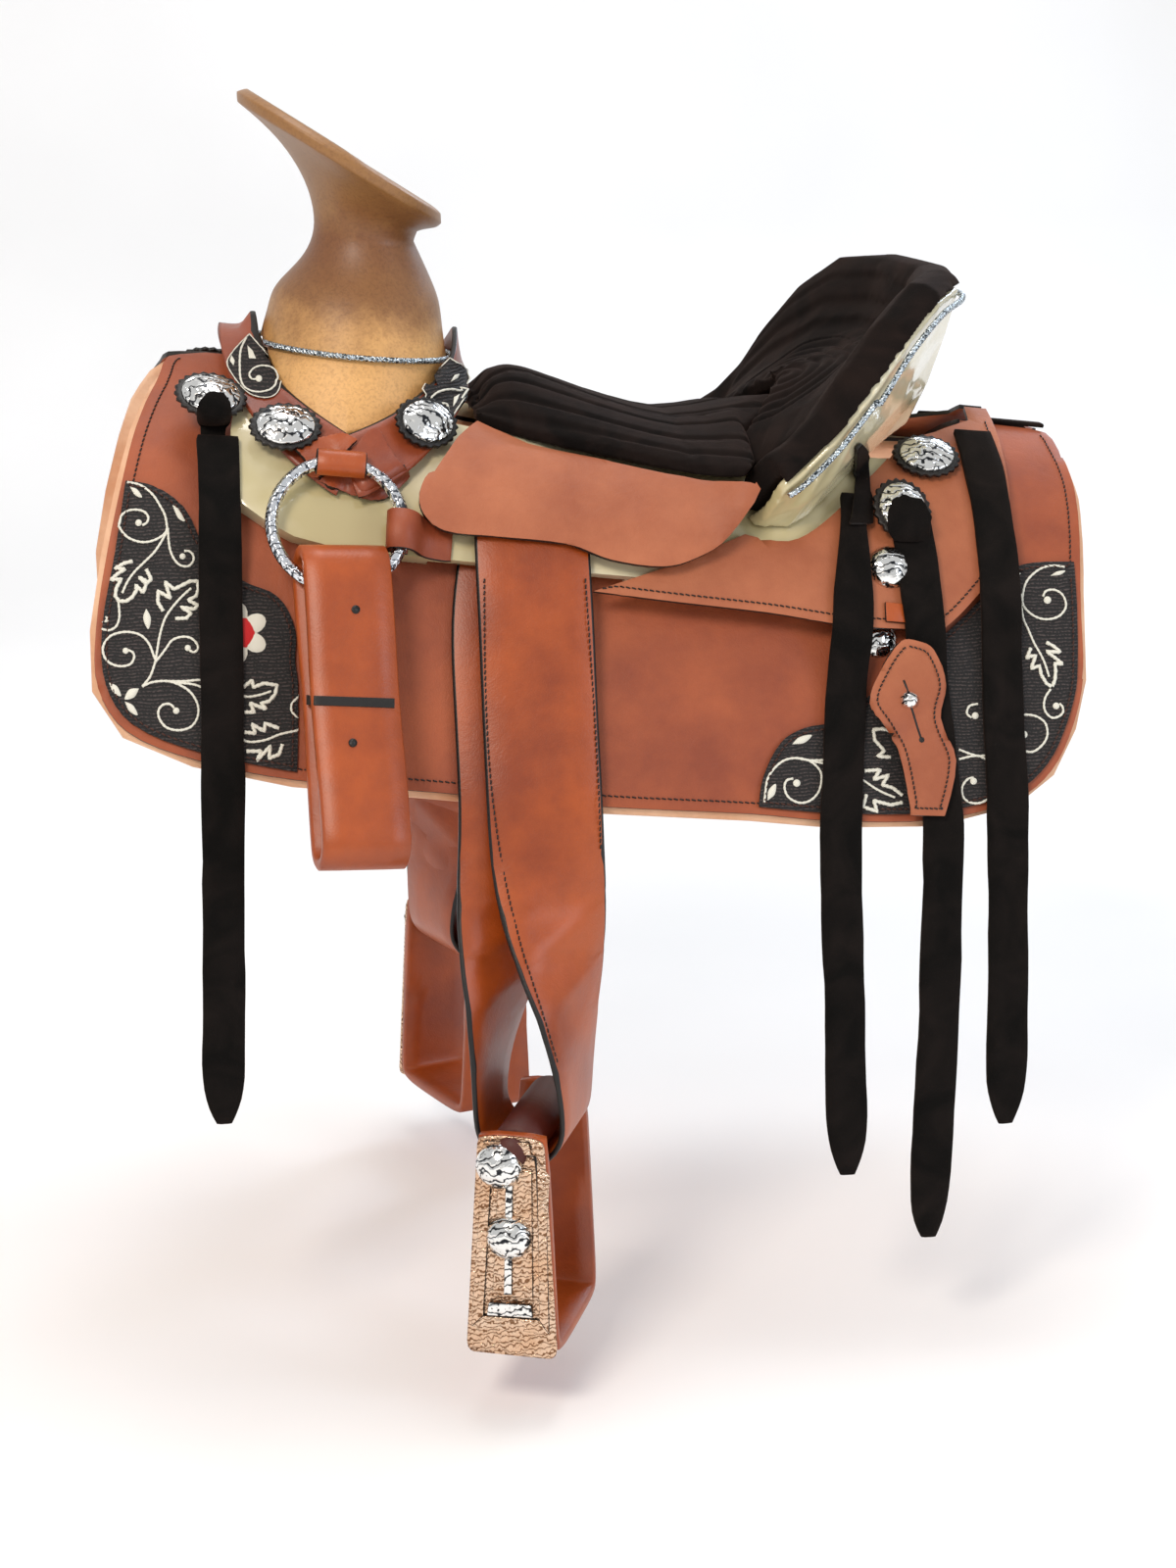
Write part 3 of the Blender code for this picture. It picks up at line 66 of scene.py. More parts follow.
# camera first: every traced ornament below is placed through its view
view = {"place": (-0.31734, -2.25800, 0.27852), "target": (0.0, 0.0, -0.29), "lens": 71.38, "film": 36,
        "across": 1200, "down": 1600}
cameraData = bpy.data.cameras.new("camera")
cameraData.lens = view["lens"]
cameraData.sensor_fit = "AUTO"
cameraData.clip_start = 0.05
camera = bpy.data.objects.new("camera", cameraData)
bpy.context.scene.collection.objects.link(camera)
camera.location = view["place"]
camera.rotation_euler = (Vector(view["target"]) - Vector(view["place"])).to_track_quat("-Z", "Y").to_euler()
bpy.context.scene.camera = camera
bpy.context.view_layer.update()
eye = Vector(view["place"])
turn = camera.matrix_world.to_3x3()
print("camera")


def rayOf(px, py):
    # direction of the view through a picture point, counted on the 1200 x 1600 picture
    reach = view["lens"] * view["down"] / view["film"]
    return (turn @ Vector(((px - view["across"] / 2) / reach, (view["down"] / 2 - py) / reach, -1))).normalized()


# materials
def linear(code):
    # sRGB hex to the linear colour that the shader wants
    parts = [int(code[i:i + 2], 16) / 255 for i in (1, 3, 5)]
    return tuple(c / 12.92 if c <= 0.04045 else ((c + 0.055) / 1.055) ** 2.4 for c in parts) + (1.0,)


def feed(tree, made, sockets):
    # links each socket or sets its value
    for key, value in sockets.items():
        if isinstance(value, bpy.types.NodeSocket):
            tree.links.new(value, made.inputs[key])
        else:
            made.inputs[key].default_value = value


def put(tree, kind, sockets=None, **settings):
    made = tree.nodes.new("ShaderNode" + kind)
    for key, value in settings.items():
        setattr(made, key, value)
    feed(tree, made, sockets or {})
    return made


def ramp(tree, source, stops):
    made = put(tree, "ValToRGB", {"Fac": source})
    band = made.color_ramp
    while len(band.elements) < len(stops):
        band.elements.new(0.5)
    for element, (at, code) in zip(band.elements, stops):
        element.position = at
        element.color = linear(code)
    return made.outputs["Color"]


def blank(name):
    made = bpy.data.materials.new(name)
    made.use_nodes = True
    tree = made.node_tree
    shader = tree.nodes["Principled BSDF"]
    space = put(tree, "TexCoord").outputs["Object"]
    return made, tree, shader, space


def leather(name, light, dark, rough, grain=1.1, creases=0.35, coat=0.0):
    # vegetable tanned hide: satin, pores about a millimetre wide, soft creases and darker, polished patches
    made, tree, shader, space = blank(name)
    broad = put(tree, "TexNoise", {"Vector": space, "Scale": 11.0, "Detail": 5.0, "Roughness": 0.6})
    pores = put(tree, "TexVoronoi", {"Vector": space, "Scale": 1000 / grain, "Randomness": 1.0})
    wrinkle = put(tree, "TexNoise", {"Vector": space, "Scale": 70.0, "Detail": 6.0, "Roughness": 0.65,
                                              "Distortion": 1.6})
    tone = ramp(tree, broad.outputs["Fac"], [(0.34, dark), (0.62, light)])
    speck = put(tree, "Mix", {"Factor": 0.14, "A": tone, "B": ramp(tree, wrinkle.outputs["Fac"],
                [(0.38, dark), (0.60, light)])}, data_type="RGBA", blend_type="MULTIPLY")
    rub = put(tree, "MapRange", {"Value": broad.outputs["Fac"], "To Min": rough - 0.10, "To Max": rough + 0.12})
    deep = put(tree, "Bump", {"Height": wrinkle.outputs["Fac"], "Strength": creases, "Distance": 0.0012})
    fine = put(tree, "Bump", {"Height": pores.outputs["Distance"], "Strength": 0.22, "Distance": 0.0004,
                                        "Normal": deep.outputs["Normal"]})
    feed(tree, shader, {"Base Color": speck.outputs[2], "Roughness": rub.outputs["Result"],
                        "Normal": fine.outputs["Normal"], "IOR": 1.48, "Coat Weight": coat, "Coat Roughness": 0.35})
    return made


def suede(name, light, dark):
    # napped split hide: no gloss, a brushed nap, its tone uneven; the lighter patches where it is stroked the other way
    # are painted sheen
    made, tree, shader, space = blank(name)
    nap = put(tree, "TexNoise", {"Vector": space, "Scale": 950.0, "Detail": 3.0})
    # lighter where the nap is stroked the other way: painted sheen of the nap
    strokesAndSheen = put(tree, "TexNoise", {"Vector": space, "Scale": 24.0, "Detail": 5.0, "Distortion": 1.2})
    tone = ramp(tree, strokesAndSheen.outputs["Fac"], [(0.36, dark), (0.70, light)])
    bump = put(tree, "Bump", {"Height": nap.outputs["Fac"], "Strength": 0.45, "Distance": 0.0006})
    feed(tree, shader, {"Base Color": tone, "Roughness": 0.94, "Normal": bump.outputs["Normal"],
                        "Specular IOR Level": 0.15, "Sheen Weight": 0.22, "Sheen Roughness": 0.45,
                        "Sheen Tint": linear("#6A4A3A")})
    return made


def silver(name, bright, deep, engrave, rough, tint=None):
    # polished silvered metal, hand engraved: mirror lands between dark, cut scrolls 2 to 5 mm wide
    made, tree, shader, space = blank(name)
    scroll = put(tree, "TexVoronoi", {"Vector": space, "Scale": 1000 / engrave}, feature="SMOOTH_F1")
    waves = put(tree, "TexWave", {"Vector": space, "Scale": 260 / engrave, "Distortion": 9.0, "Detail": 2.0,
                                           "Detail Scale": 2.0}, wave_type="RINGS")
    cut = put(tree, "Math", {0: scroll.outputs["Distance"], 1: waves.outputs["Fac"]}, operation="MULTIPLY")
    tone = ramp(tree, cut.outputs["Value"], [(0.02, deep), (0.12, bright)])
    if tint:
        patch = put(tree, "TexNoise", {"Vector": space, "Scale": 60.0, "Detail": 3.0})
        tone = put(tree, "Mix", {"Factor": patch.outputs["Fac"], "A": tone, "B": linear(tint)},
                   data_type="RGBA", blend_type="MULTIPLY").outputs[2]
    rub = put(tree, "MapRange", {"Value": cut.outputs["Value"], "From Max": 0.2, "To Min": rough + 0.25,
                                           "To Max": rough})
    bump = put(tree, "Bump", {"Height": cut.outputs["Value"], "Strength": 0.6, "Distance": 0.0010})
    feed(tree, shader, {"Base Color": tone, "Metallic": 1.0, "Roughness": rub.outputs["Result"],
                        "Normal": bump.outputs["Normal"]})
    return made


def thread(name, code, rough=0.6):
    # waxed thread: faint twist each millimetre, slight sheen
    made, tree, shader, space = blank(name)
    twist = put(tree, "TexWave", {"Vector": space, "Scale": 420.0, "Distortion": 2.0}, bands_direction="DIAGONAL")
    tone = put(tree, "Mix", {"Factor": 0.35, "A": linear(code), "B": twist.outputs["Color"]}, data_type="RGBA",
               blend_type="MULTIPLY")
    bump = put(tree, "Bump", {"Height": twist.outputs["Fac"], "Strength": 0.5, "Distance": 0.0003})
    feed(tree, shader, {"Base Color": tone.outputs[2], "Roughness": rough, "Normal": bump.outputs["Normal"]})
    return made


skirtLeather = leather("tannedSkirting", "#A9562F", "#8A4024", rough=0.52)
roseLeather = leather("roseSkirting", "#B56C47", "#9C5433", rough=0.55)
orangeLeather = leather("oiledHarness", "#B0500F", "#8A380A", rough=0.42, grain=1.4, creases=0.30, coat=0.25)
collarLeather = leather("collarHarness", "#A04A22", "#7C3217", rough=0.42, grain=1.4, creases=0.25, coat=0.25)
innerLeather = leather("redHarness", "#5A1E12", "#3A120B", rough=0.55, grain=1.4, creases=0.30)
liningFelt = leather("liningHide", "#F0C6A4", "#D39A74", rough=0.85, grain=2.2, creases=0.5)
# black of the burnished edges; the same black also stands as painted shade in the latigo holes and in the billet's slot
# and hole
burnishedAndShade = leather("burnishedEdge", "#1B1512", "#0B0908", rough=0.45, grain=2.0, creases=0.2)
blackSuede = suede("seatSuede", "#1D1411", "#0A0706")
tieSuede = suede("tieSuede", "#171210", "#070605")
creamThread = thread("creamFloss", "#F4F1E2")
tanThread = thread("brownThread", "#4A2314")
blackThread = thread("blackThread", "#120D0B")
redFloss = thread("redFloss", "#D8141C")
conchoSilver = silver("conchoSilver", "#F2F2F0", "#2E3034", engrave=4.2, rough=0.12)
ringSilver = silver("ringSilver", "#E6EAF0", "#454A52", engrave=3.4, rough=0.16)
plateSilver = silver("plateSilver", "#EFD9C4", "#8A6A50", engrave=2.6, rough=0.22, tint="#DDB894")
cordSilver = silver("cordSilver", "#C6D0D6", "#3A4248", engrave=2.2, rough=0.26)


def needlework(name):
    # ground of the patches: black floss laid in rows about 2 mm apart over black leather
    made, tree, shader, space = blank(name)
    rows = put(tree, "TexWave", {"Vector": space, "Scale": 135.0, "Distortion": 5.0, "Detail": 1.0,
                                          "Detail Scale": 0.5}, bands_direction="Z")
    knots = put(tree, "TexVoronoi", {"Vector": space, "Scale": 620.0})
    lay = put(tree, "Math", {0: rows.outputs["Fac"], 1: knots.outputs["Distance"]}, operation="MULTIPLY")
    tone = ramp(tree, lay.outputs["Value"], [(0.06, "#050404"), (0.34, "#171213"), (0.68, "#463C3A")])
    bump = put(tree, "Bump", {"Height": lay.outputs["Value"], "Strength": 0.8, "Distance": 0.0010})
    feed(tree, shader, {"Base Color": tone, "Roughness": 0.72, "Normal": bump.outputs["Normal"]})
    return made


def lacquer(name):
    # ivory lacquer over carved wood: deep gloss, faint cloudy tone
    made, tree, shader, space = blank(name)
    cloud = put(tree, "TexNoise", {"Vector": space, "Scale": 9.0, "Detail": 4.0})
    tone = ramp(tree, cloud.outputs["Fac"], [(0.35, "#BDB083"), (0.62, "#E6DDBC")])
    ripple = put(tree, "Bump", {"Height": cloud.outputs["Fac"], "Strength": 0.15, "Distance": 0.003})
    feed(tree, shader, {"Base Color": tone, "Roughness": 0.16, "Coat Weight": 0.8, "Coat Roughness": 0.05,
                        "Normal": ripple.outputs["Normal"]})
    return made


def rawhide(name):
    # rawhide shrunk over wood: amber and see-through where thin, hair-fine fibres; its tone is set by height, the brown
    # towards the horn partly the hide's own tone and partly painted shade under the horn cap
    made, tree, shader, space = blank(name)
    parts = put(tree, "SeparateXYZ", {"Vector": space})
    cloud = put(tree, "TexNoise", {"Vector": space, "Scale": 17.0, "Detail": 7.0, "Roughness": 0.68})
    height = put(tree, "MapRange", {"Value": parts.outputs["Z"], "From Min": -0.10, "From Max": 0.21})
    drift = put(tree, "Math", {0: cloud.outputs["Fac"], 1: 0.34}, operation="MULTIPLY")
    mixed = put(tree, "Math", {0: height.outputs["Result"], 1: drift.outputs["Value"]}, operation="ADD")
    # the ramp's dark band high up is painted shade under the horn cap, over the hide's own browner tone there
    tone = ramp(tree, mixed.outputs["Value"], [(0.20, "#A8753F"), (0.42, "#E3AE6C"), (0.60, "#DDAA6A"),
                                               (0.74, "#8E6238"), (0.88, "#7C4F2C"), (0.99, "#93683A")])
    hairs = put(tree, "TexNoise", {"Vector": space, "Scale": 420.0, "Detail": 4.0, "Distortion": 0.8})
    speck = put(tree, "Mix", {"Factor": 0.30, "A": tone, "B": ramp(tree, hairs.outputs["Fac"],
                [(0.30, "#8F7050"), (0.55, "#FFFFFF")])}, data_type="RGBA", blend_type="MULTIPLY")
    bump = put(tree, "Bump", {"Height": hairs.outputs["Fac"], "Strength": 0.25, "Distance": 0.0008})
    feed(tree, shader, {"Base Color": speck.outputs[2], "Roughness": 0.46, "Coat Weight": 0.15, "Coat Roughness": 0.4,
                        "Normal": bump.outputs["Normal"]})
    return made


patchGround = needlework("patchNeedlework")
ivoryLacquer = lacquer("ivoryLacquer")
hornRawhide = rawhide("hornRawhide")
print("materials")


# helpers that make pieces
def finishPiece(name, mesh, body, slot, *finishes):
    made = bpy.data.objects.new(name, mesh)
    bpy.context.scene.collection.objects.link(made)
    for finish in finishes:
        mesh.materials.append(finish)
    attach(made, body)
    return made


def bodyOf(node):
    return nodes[node]["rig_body"]


def meshFrom(work, name):
    mesh = bpy.data.meshes.new(name)
    work.to_mesh(mesh)
    work.free()
    return mesh


def pieceFrom(work, name, body, slot, *finishes):
    return finishPiece(name, meshFrom(work, name), body, slot, *finishes)


def modify(made, name, kind, **settings):
    step = made.modifiers.new(name, kind)
    for key, value in settings.items():
        setattr(step, key, value)
    return step


def roundEdges(made, width, segments=2, degrees=60):
    modify(made, "arris", "BEVEL", width=width, segments=segments, limit_method="ANGLE",
           angle_limit=math.radians(degrees))


def evenSkin(made, voxel, turns):
    # one even, smooth skin over the solid's form
    modify(made, "remesh", "REMESH", mode="VOXEL", voxel_size=voxel, use_smooth_shade=True)
    modify(made, "ease", "SMOOTH", iterations=turns)


def sideOf(name):
    return -1 if name.endswith("near") else 1


def twin(node, word):
    # the node of the same piece on the near or the off side
    return node if word == "near" else node.replace("_near", "_off")


trees = {}


def treeOf(node):
    # one solid, or several named with plus signs, as a surface to cast on
    if node not in trees:
        places, sides = [], []
        for one in node.split("+"):
            mesh = nodes[one].data
            mesh.calc_loop_triangles()
            sides += [tuple(len(places) + k for k in t.vertices) for t in mesh.loop_triangles]
            places += [v.co.copy() for v in mesh.vertices]
        trees[node] = BVHTree.FromPolygons(places, sides)
    return trees[node]


def refined(node, finish, slot, levels=2, edge=0.0, crease=0.75, wave=0.0):
    # the solid's own form with rounded arrises: welded, its triangles joined, creased and subdivided;
    # faces narrower than edge are the burnished ones
    mesh = nodes[node].data.copy()
    mesh.materials.clear()
    work = bmesh.new()
    work.from_mesh(mesh)
    bmesh.ops.remove_doubles(work, verts=work.verts, dist=1e-6)
    bmesh.ops.join_triangles(work, faces=work.faces, angle_face_threshold=math.radians(12),
                             angle_shape_threshold=math.radians(60))
    creases = work.edges.layers.float.get("crease_edge") or work.edges.layers.float.new("crease_edge")
    for line in work.edges:
        if len(line.link_faces) == 2 and line.calc_face_angle(0) > math.radians(38):
            line[creases] = crease
    for face in work.faces:
        face.smooth = True
        if edge and min(e.calc_length() for e in face.edges) < edge:
            face.material_index = 1
    work.to_mesh(mesh)
    work.free()
    made = finishPiece(node + "_dressed", mesh, bodyOf(node), slot, finish, *([burnishedAndShade] if edge else []))
    if levels:
        modify(made, "round", "SUBSURF", levels=levels, render_levels=levels)
    if wave:
        texture = bpy.data.textures.new(node + "_ripple", "CLOUDS")
        texture.noise_scale = 0.05
        modify(made, "ripple", "DISPLACE", texture=texture, texture_coords="LOCAL", strength=wave)
    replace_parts(made, node)
    return made


def gridded(outline, cell, near):
    # a flat outline cut into square cells, so that it can follow a curved face
    work = bmesh.new()
    work.faces.new([work.verts.new((a, b, 0)) for a, b in outline])
    for axis in (0, 1):
        values = [q[axis] for q in outline]
        for k in range(math.ceil(min(values) / cell), math.floor(max(values) / cell) + 1):
            spot, way = [0, 0, 0], [0, 0, 0]
            spot[axis], way[axis] = k * cell, 1
            bmesh.ops.bisect_plane(work, geom=work.verts[:] + work.edges[:] + work.faces[:], plane_co=spot,
                                   plane_no=way, dist=near)
    return work


def turnOut(work, out):
    # faces of a sheet turned outwards and smooth
    bmesh.ops.recalc_face_normals(work, faces=work.faces)
    if max(work.faces, key=lambda f: f.calc_area()).normal.dot(out) < 0:
        bmesh.ops.reverse_faces(work, faces=work.faces)
    for face in work.faces:
        face.smooth = True


def thicken(made, thickness, rounding):
    # one thickness under the outer face; the second finish shows on the cut edge
    modify(made, "thick", "SOLIDIFY", thickness=thickness, offset=-1, material_offset_rim=1)
    if rounding:
        roundEdges(made, rounding)


def mirrored(points):
    return [(Vector((p.x, -p.y, p.z)), Vector((n.x, -n.y, n.z))) for p, n in points]


def sided(run, word):
    return run if word == "near" else mirrored(run)


def trace(node, points, lift=0.0):
    # picture points cast onto a near-side solid: places and normals on it
    made = []
    surface = treeOf(node)
    for px, py in points:
        place, normal, _, _ = surface.ray_cast(eye, rayOf(px, py))
        if place is None:
            place, normal, _, _ = surface.find_nearest(eye + rayOf(px, py) * (eye - Vector((0, -0.2, -0.2))).length)
        if normal.dot(eye - place) < 0:
            normal = -normal
        made.append((place + normal * lift, normal))
    return made


def between(p, f):
    # a smooth curve's place at the share f from the second to the third of four places
    return 0.5 * (2 * p[1] + (p[2] - p[0]) * f + (2 * p[0] - 5 * p[1] + 4 * p[2] - p[3]) * f * f
                  + (3 * p[1] - p[0] - 3 * p[2] + p[3]) * f ** 3)


def curveThrough(points, step=1.6):
    # smooth run through picture points, a place each step of the picture
    made = []
    for i in range(len(points) - 1):
        p = [Vector(points[min(max(k, 0), len(points) - 1)]) for k in (i - 1, i, i + 1, i + 2)]
        count = max(1, round((p[2] - p[1]).length / step))
        made += [between(p, k / count) for k in range(count)]
    made.append(Vector(points[-1]))
    return [tuple(p) for p in made]


def joinRings(work, rings):
    # a closed skin over rings of as many points
    count = len(rings[0])
    for a, b in zip(rings, rings[1:]):
        for k in range(count):
            work.faces.new((a[k], a[(k + 1) % count], b[(k + 1) % count], b[k])).smooth = True
    work.faces.new(rings[0][::-1])
    work.faces.new(rings[-1])


def tube(work, run, radius, flat=0.6, sides=6, beads=0.0):
    # flattened cord over a run of (place, normal); beads gives it the swell of each stitch
    rings = []
    count = len(run)
    for i, (p, n) in enumerate(run):
        along = (run[min(i + 1, count - 1)][0] - run[max(i - 1, 0)][0]).normalized()
        across = along.cross(n).normalized()
        size = radius * (1 + beads * math.sin(i * math.pi / 1.5))
        rings.append([work.verts.new(p + across * math.cos(a) * size + n * math.sin(a) * size * flat)
                      for a in [2 * math.pi * k / sides for k in range(sides)]])
    joinRings(work, rings)


def resample(run, pitch):
    made, left = [run[0]], pitch
    for (a, na), (b, nb) in zip(run, run[1:]):
        length = (b - a).length
        while length >= left > 0:
            f = left / length
            a, na = a.lerp(b, f), na.lerp(nb, f)
            made.append((a, na))
            length = (b - a).length
            left = pitch
        left -= length
    return made


def stitches(name, runs, body, slot, finish, pitch=0.0042, radius=0.00055, lift=0.0003):
    # one mesh of saddle stitches: short, slightly slanted strands along each run
    work = bmesh.new()
    for run in runs:
        spots = resample(run, pitch)
        for (a, na), (b, nb) in zip(spots, spots[1:]):
            along = b - a
            across = along.cross(na).normalized() * radius * 0.5
            start, end = a + along * 0.10 - across, a + along * 0.80 + across
            middle = (start + end) / 2 + na * radius * 0.6
            tube(work, [(start + na * lift, na), (middle + na * lift, na), (end + na * lift, nb)], radius, 0.8, 5)
    return pieceFrom(work, name, body, slot, finish)


# the panels' flat patterns over the horse's back, as the solids have them
back = {"pitch": 6.0, "ridge": 14.0, "girth": 64.0, "hem": 71.0, "girthRun": 0.170, "hemRun": 0.360,
        "dip": 0.030, "dipAt": 0.020, "dipHalf": 0.260, "dipFade": 0.200}
pitch = Matrix.Rotation(math.radians(back["pitch"]), 3, "Y")


def backLine(s):
    ridge, girth, hem = (math.radians(back[k]) for k in ("ridge", "girth", "hem"))
    bend = (girth - ridge) / back["girthRun"]
    slope = ridge + bend * min(s, back["girthRun"])
    y, z = (math.sin(slope) - math.sin(ridge)) / bend, (math.cos(slope) - math.cos(ridge)) / bend
    if s > back["girthRun"]:
        bend = (hem - girth) / (back["hemRun"] - back["girthRun"])
        slope = girth + bend * (s - back["girthRun"])
        y += (math.sin(slope) - math.sin(girth)) / bend
        z += (math.cos(slope) - math.cos(girth)) / bend
    return y, z, slope


def onBack(x, s, off, side):
    y, z, slope = backLine(s)
    along = abs(x - back["dipAt"]) / back["dipHalf"]
    sink = 0.0
    if along < 1 and s < back["dipFade"]:
        sink = back["dip"] * math.cos(along * math.pi / 2) ** 2 * (1 - max(s, 0) / back["dipFade"])
    return pitch @ Vector((x, side * (y + off * math.sin(slope)), z - sink + off * math.cos(slope)))


def outOf(s, side):
    slope = backLine(s)[2]
    return pitch @ Vector((0, side * math.sin(slope), math.cos(slope)))


def topOf(node, x, s, side):
    # where the outer face of a solid lies over the pattern point, or None beside it
    out = outOf(s, side)
    start = onBack(x, s, 0.09, side)
    place = treeOf(node).ray_cast(start, -out, 0.12)[0]
    return None if place is None else (place, out)


def smoothLine(points, steps=4, closed=True):
    # curve through pattern points; a third value marks a sharp corner
    made, count = [], len(points)
    for i in range(count if closed else count - 1):
        a, b = points[i], points[(i + 1) % count]
        pa, pb = Vector(a[:2]), Vector(b[:2])
        span = (pb - pa).length
        ta = Vector((0, 0)) if len(a) > 2 else (pb - Vector(points[i - 1][:2])).normalized() * span
        tb = Vector((0, 0)) if len(b) > 2 else (Vector(points[(i + 2) % count][:2]) - pa).normalized() * span
        if len(a) > 2 and len(b) > 2:
            made.append(tuple(pa))
            continue
        for k in range(steps):
            t = k / steps
            made.append(tuple((2 * t**3 - 3 * t**2 + 1) * pa + (t**3 - 2 * t**2 + t) * ta
                              + (3 * t**2 - 2 * t**3) * pb + (t**3 - t**2) * tb))
    if not closed:
        made.append(tuple(points[-1][:2]))
    return made


def inset(line, by):
    # the closed outline moved inwards
    area = sum(a[0] * b[1] - b[0] * a[1] for a, b in zip(line, line[1:] + line[:1]))
    sign = 1 if area > 0 else -1
    made = []
    for i, p in enumerate(line):
        a, b = line[i - 1], line[(i + 1) % len(line)]
        way = Vector((b[0] - a[0], b[1] - a[1]))
        if way.length < 1e-9:
            continue
        way.normalize()
        made.append((p[0] - way.y * by * sign, p[1] + way.x * by * sign))
    return made


def heights(node, side):
    # distance of the solid's outer face over the back, for any pattern point
    def at(x, s):
        cx, cs = centre(node)
        for pull in (1.0, 0.985, 0.96, 0.93, 0.88):      # a point just beside the solid is pulled back onto it
            px, ps = cx + (x - cx) * pull, cs + (s - cs) * pull
            hit = topOf(node, px, ps, side)
            if hit:
                return (hit[0] - onBack(px, ps, 0, side)).dot(hit[1])
        return None
    return at


centres = {}


def centre(node):
    if node not in centres:
        low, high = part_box(node)
        middle = (low + high) / 2
        flat = pitch.inverted() @ middle
        best = min((abs(backLine(k / 100)[0] - abs(flat.y)), k / 100) for k in range(36))
        centres[node] = (flat.x, best[1])
    return centres[node]


def panel(node, outline, finish, slot, thickness, rounding=0.0009, cell=0.009):
    # a leather panel: the flat pattern gridded, laid on its solid's outer face, thickened, its edges rounded
    side = sideOf(node)
    high = heights(node, side)
    work = gridded(outline, cell, 1e-5)
    uv = work.loops.layers.uv.new("pattern")
    for face in work.faces:
        for loop in face.loops:
            loop[uv].uv = (loop.vert.co.x * 10, loop.vert.co.y * 10)
    last = 0.01
    for v in work.verts:
        x, s = v.co.x, v.co.y
        found = high(x, s)
        last = found if found is not None else last
        v.co = onBack(x, s, last + 0.0002, side)
    turnOut(work, outOf(0.15, side))
    made = pieceFrom(work, node + "_dressed", bodyOf(node), slot, finish, burnishedAndShade)
    thicken(made, thickness, rounding)
    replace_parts(made, node)


def patternRun(node, line, closed=True):
    # a line of the flat pattern laid on a solid's outer face, broken where there is nothing under it
    side = sideOf(node)
    high = heights(node, side)
    run = []
    spots = list(line) + ([line[0]] if closed else [])
    for a, b in zip(spots, spots[1:]):
        count = max(1, int(math.dist(a, b) / 0.004))
        for k in range(count):
            x, s = a[0] + (b[0] - a[0]) * k / count, a[1] + (b[1] - a[1]) * k / count
            up = high(x, s)
            if up is not None:
                run.append((onBack(x, s, up + 0.0003, side), outOf(s, side)))
    return run


def satin(work, outline, rise=0.0011):
    # a filled leaf or dot of floss: a low pillow over its outline of (place, normal)
    middle = sum((p for p, n in outline), Vector()) / len(outline)
    up = sum((n for p, n in outline), Vector()).normalized()
    rim = [work.verts.new(p) for p, n in outline]
    inner = [work.verts.new(middle + (p - middle) * 0.72 + up * rise * 0.85) for p, n in outline]
    top = work.verts.new(middle + up * rise)
    count = len(rim)
    for k in range(count):
        j = (k + 1) % count
        work.faces.new((rim[k], rim[j], inner[j], inner[k])).smooth = True
        work.faces.new((inner[k], inner[j], top)).smooth = True


def disc(px, py, radius, count=12):
    return [(px + radius * math.cos(2 * math.pi * k / count), py + radius * math.sin(2 * math.pi * k / count))
            for k in range(count)]


floss = {"radius": 0.00085, "flat": 0.7, "sides": 6, "beads": 0.18, "lift": 0.0006, "leafLift": 0.0001, "heavy": 1.55}


def embroider(label, node, lines, leaves, finish):
    # traced on the near solid and mirrored to the off one
    for word in words:
        work = bmesh.new()
        for line, size in lines:
            run = trace(node, curveThrough(line), floss["lift"])
            tube(work, sided(run, word), floss["radius"] * size, floss["flat"], floss["sides"], floss["beads"])
        for leaf in leaves:
            satin(work, sided(trace(node, leaf, floss["leafLift"]), word))
        bmesh.ops.recalc_face_normals(work, faces=work.faces)
        pieceFrom(work, label + "_" + word, bodyOf(node), "embroidered_suede", finish)


# tree: horn, fork, bars, cantle shell
bars = {"arris": 0.0018}
refined("horn_fork", hornRawhide, "rawhide", crease=0.55)
twisted = {"strands": 3, "strand": 0.00125, "spread": 0.00115, "lay": 0.0085, "step": 0.0011}


def cordPath(node, middle, bins):
    # the middle line of a cord's solid, by its direction round a plan point
    sums = {}
    for v in nodes[node].data.vertices:
        a = math.atan2(v.co.y, v.co.x - middle)
        spot = sums.setdefault(round(a / (2 * math.pi) * bins), [Vector(), 0])
        spot[0] += v.co
        spot[1] += 1
    return [sums[k][0] / sums[k][1] for k in sorted(sums) if sums[k][1] > 2]


def twistedCord(node, middle, bins, closed):
    line = cordPath(node, middle, bins)
    if closed:
        line = line + line[:1]
    fine = []
    for i in range(len(line) - 1):
        p = [line[(i + k) % (len(line) - 1)] if closed else line[min(max(i + k, 0), len(line) - 1)]
             for k in (-1, 0, 1, 2)]
        count = max(1, round((p[2] - p[1]).length / twisted["step"]))
        fine += [between(p, k / count) for k in range(count)]
    fine.append(line[-1])
    work = bmesh.new()
    for strand in range(twisted["strands"]):
        run, gone = [], 0.0
        for i, p in enumerate(fine):
            if i:
                gone += (p - fine[i - 1]).length
            along = (fine[min(i + 1, len(fine) - 1)] - fine[max(i - 1, 0)]).normalized()
            up = along.cross(Vector((0, 0, 1))).normalized()
            over = along.cross(up)
            a = 2 * math.pi * (gone / twisted["lay"] + strand / twisted["strands"])
            away = up * math.cos(a) + over * math.sin(a)
            run.append((p + away * twisted["spread"], away))
        tube(work, run, twisted["strand"], 1.0, 6)
    made = pieceFrom(work, node + "_twisted", "saddle", "silver_cord", cordSilver)
    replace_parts(made, node)


twistedCord("fork_cord", middle=-0.19, bins=48, closed=True)
twistedCord("cantle_cord", middle=0.12, bins=60, closed=False)

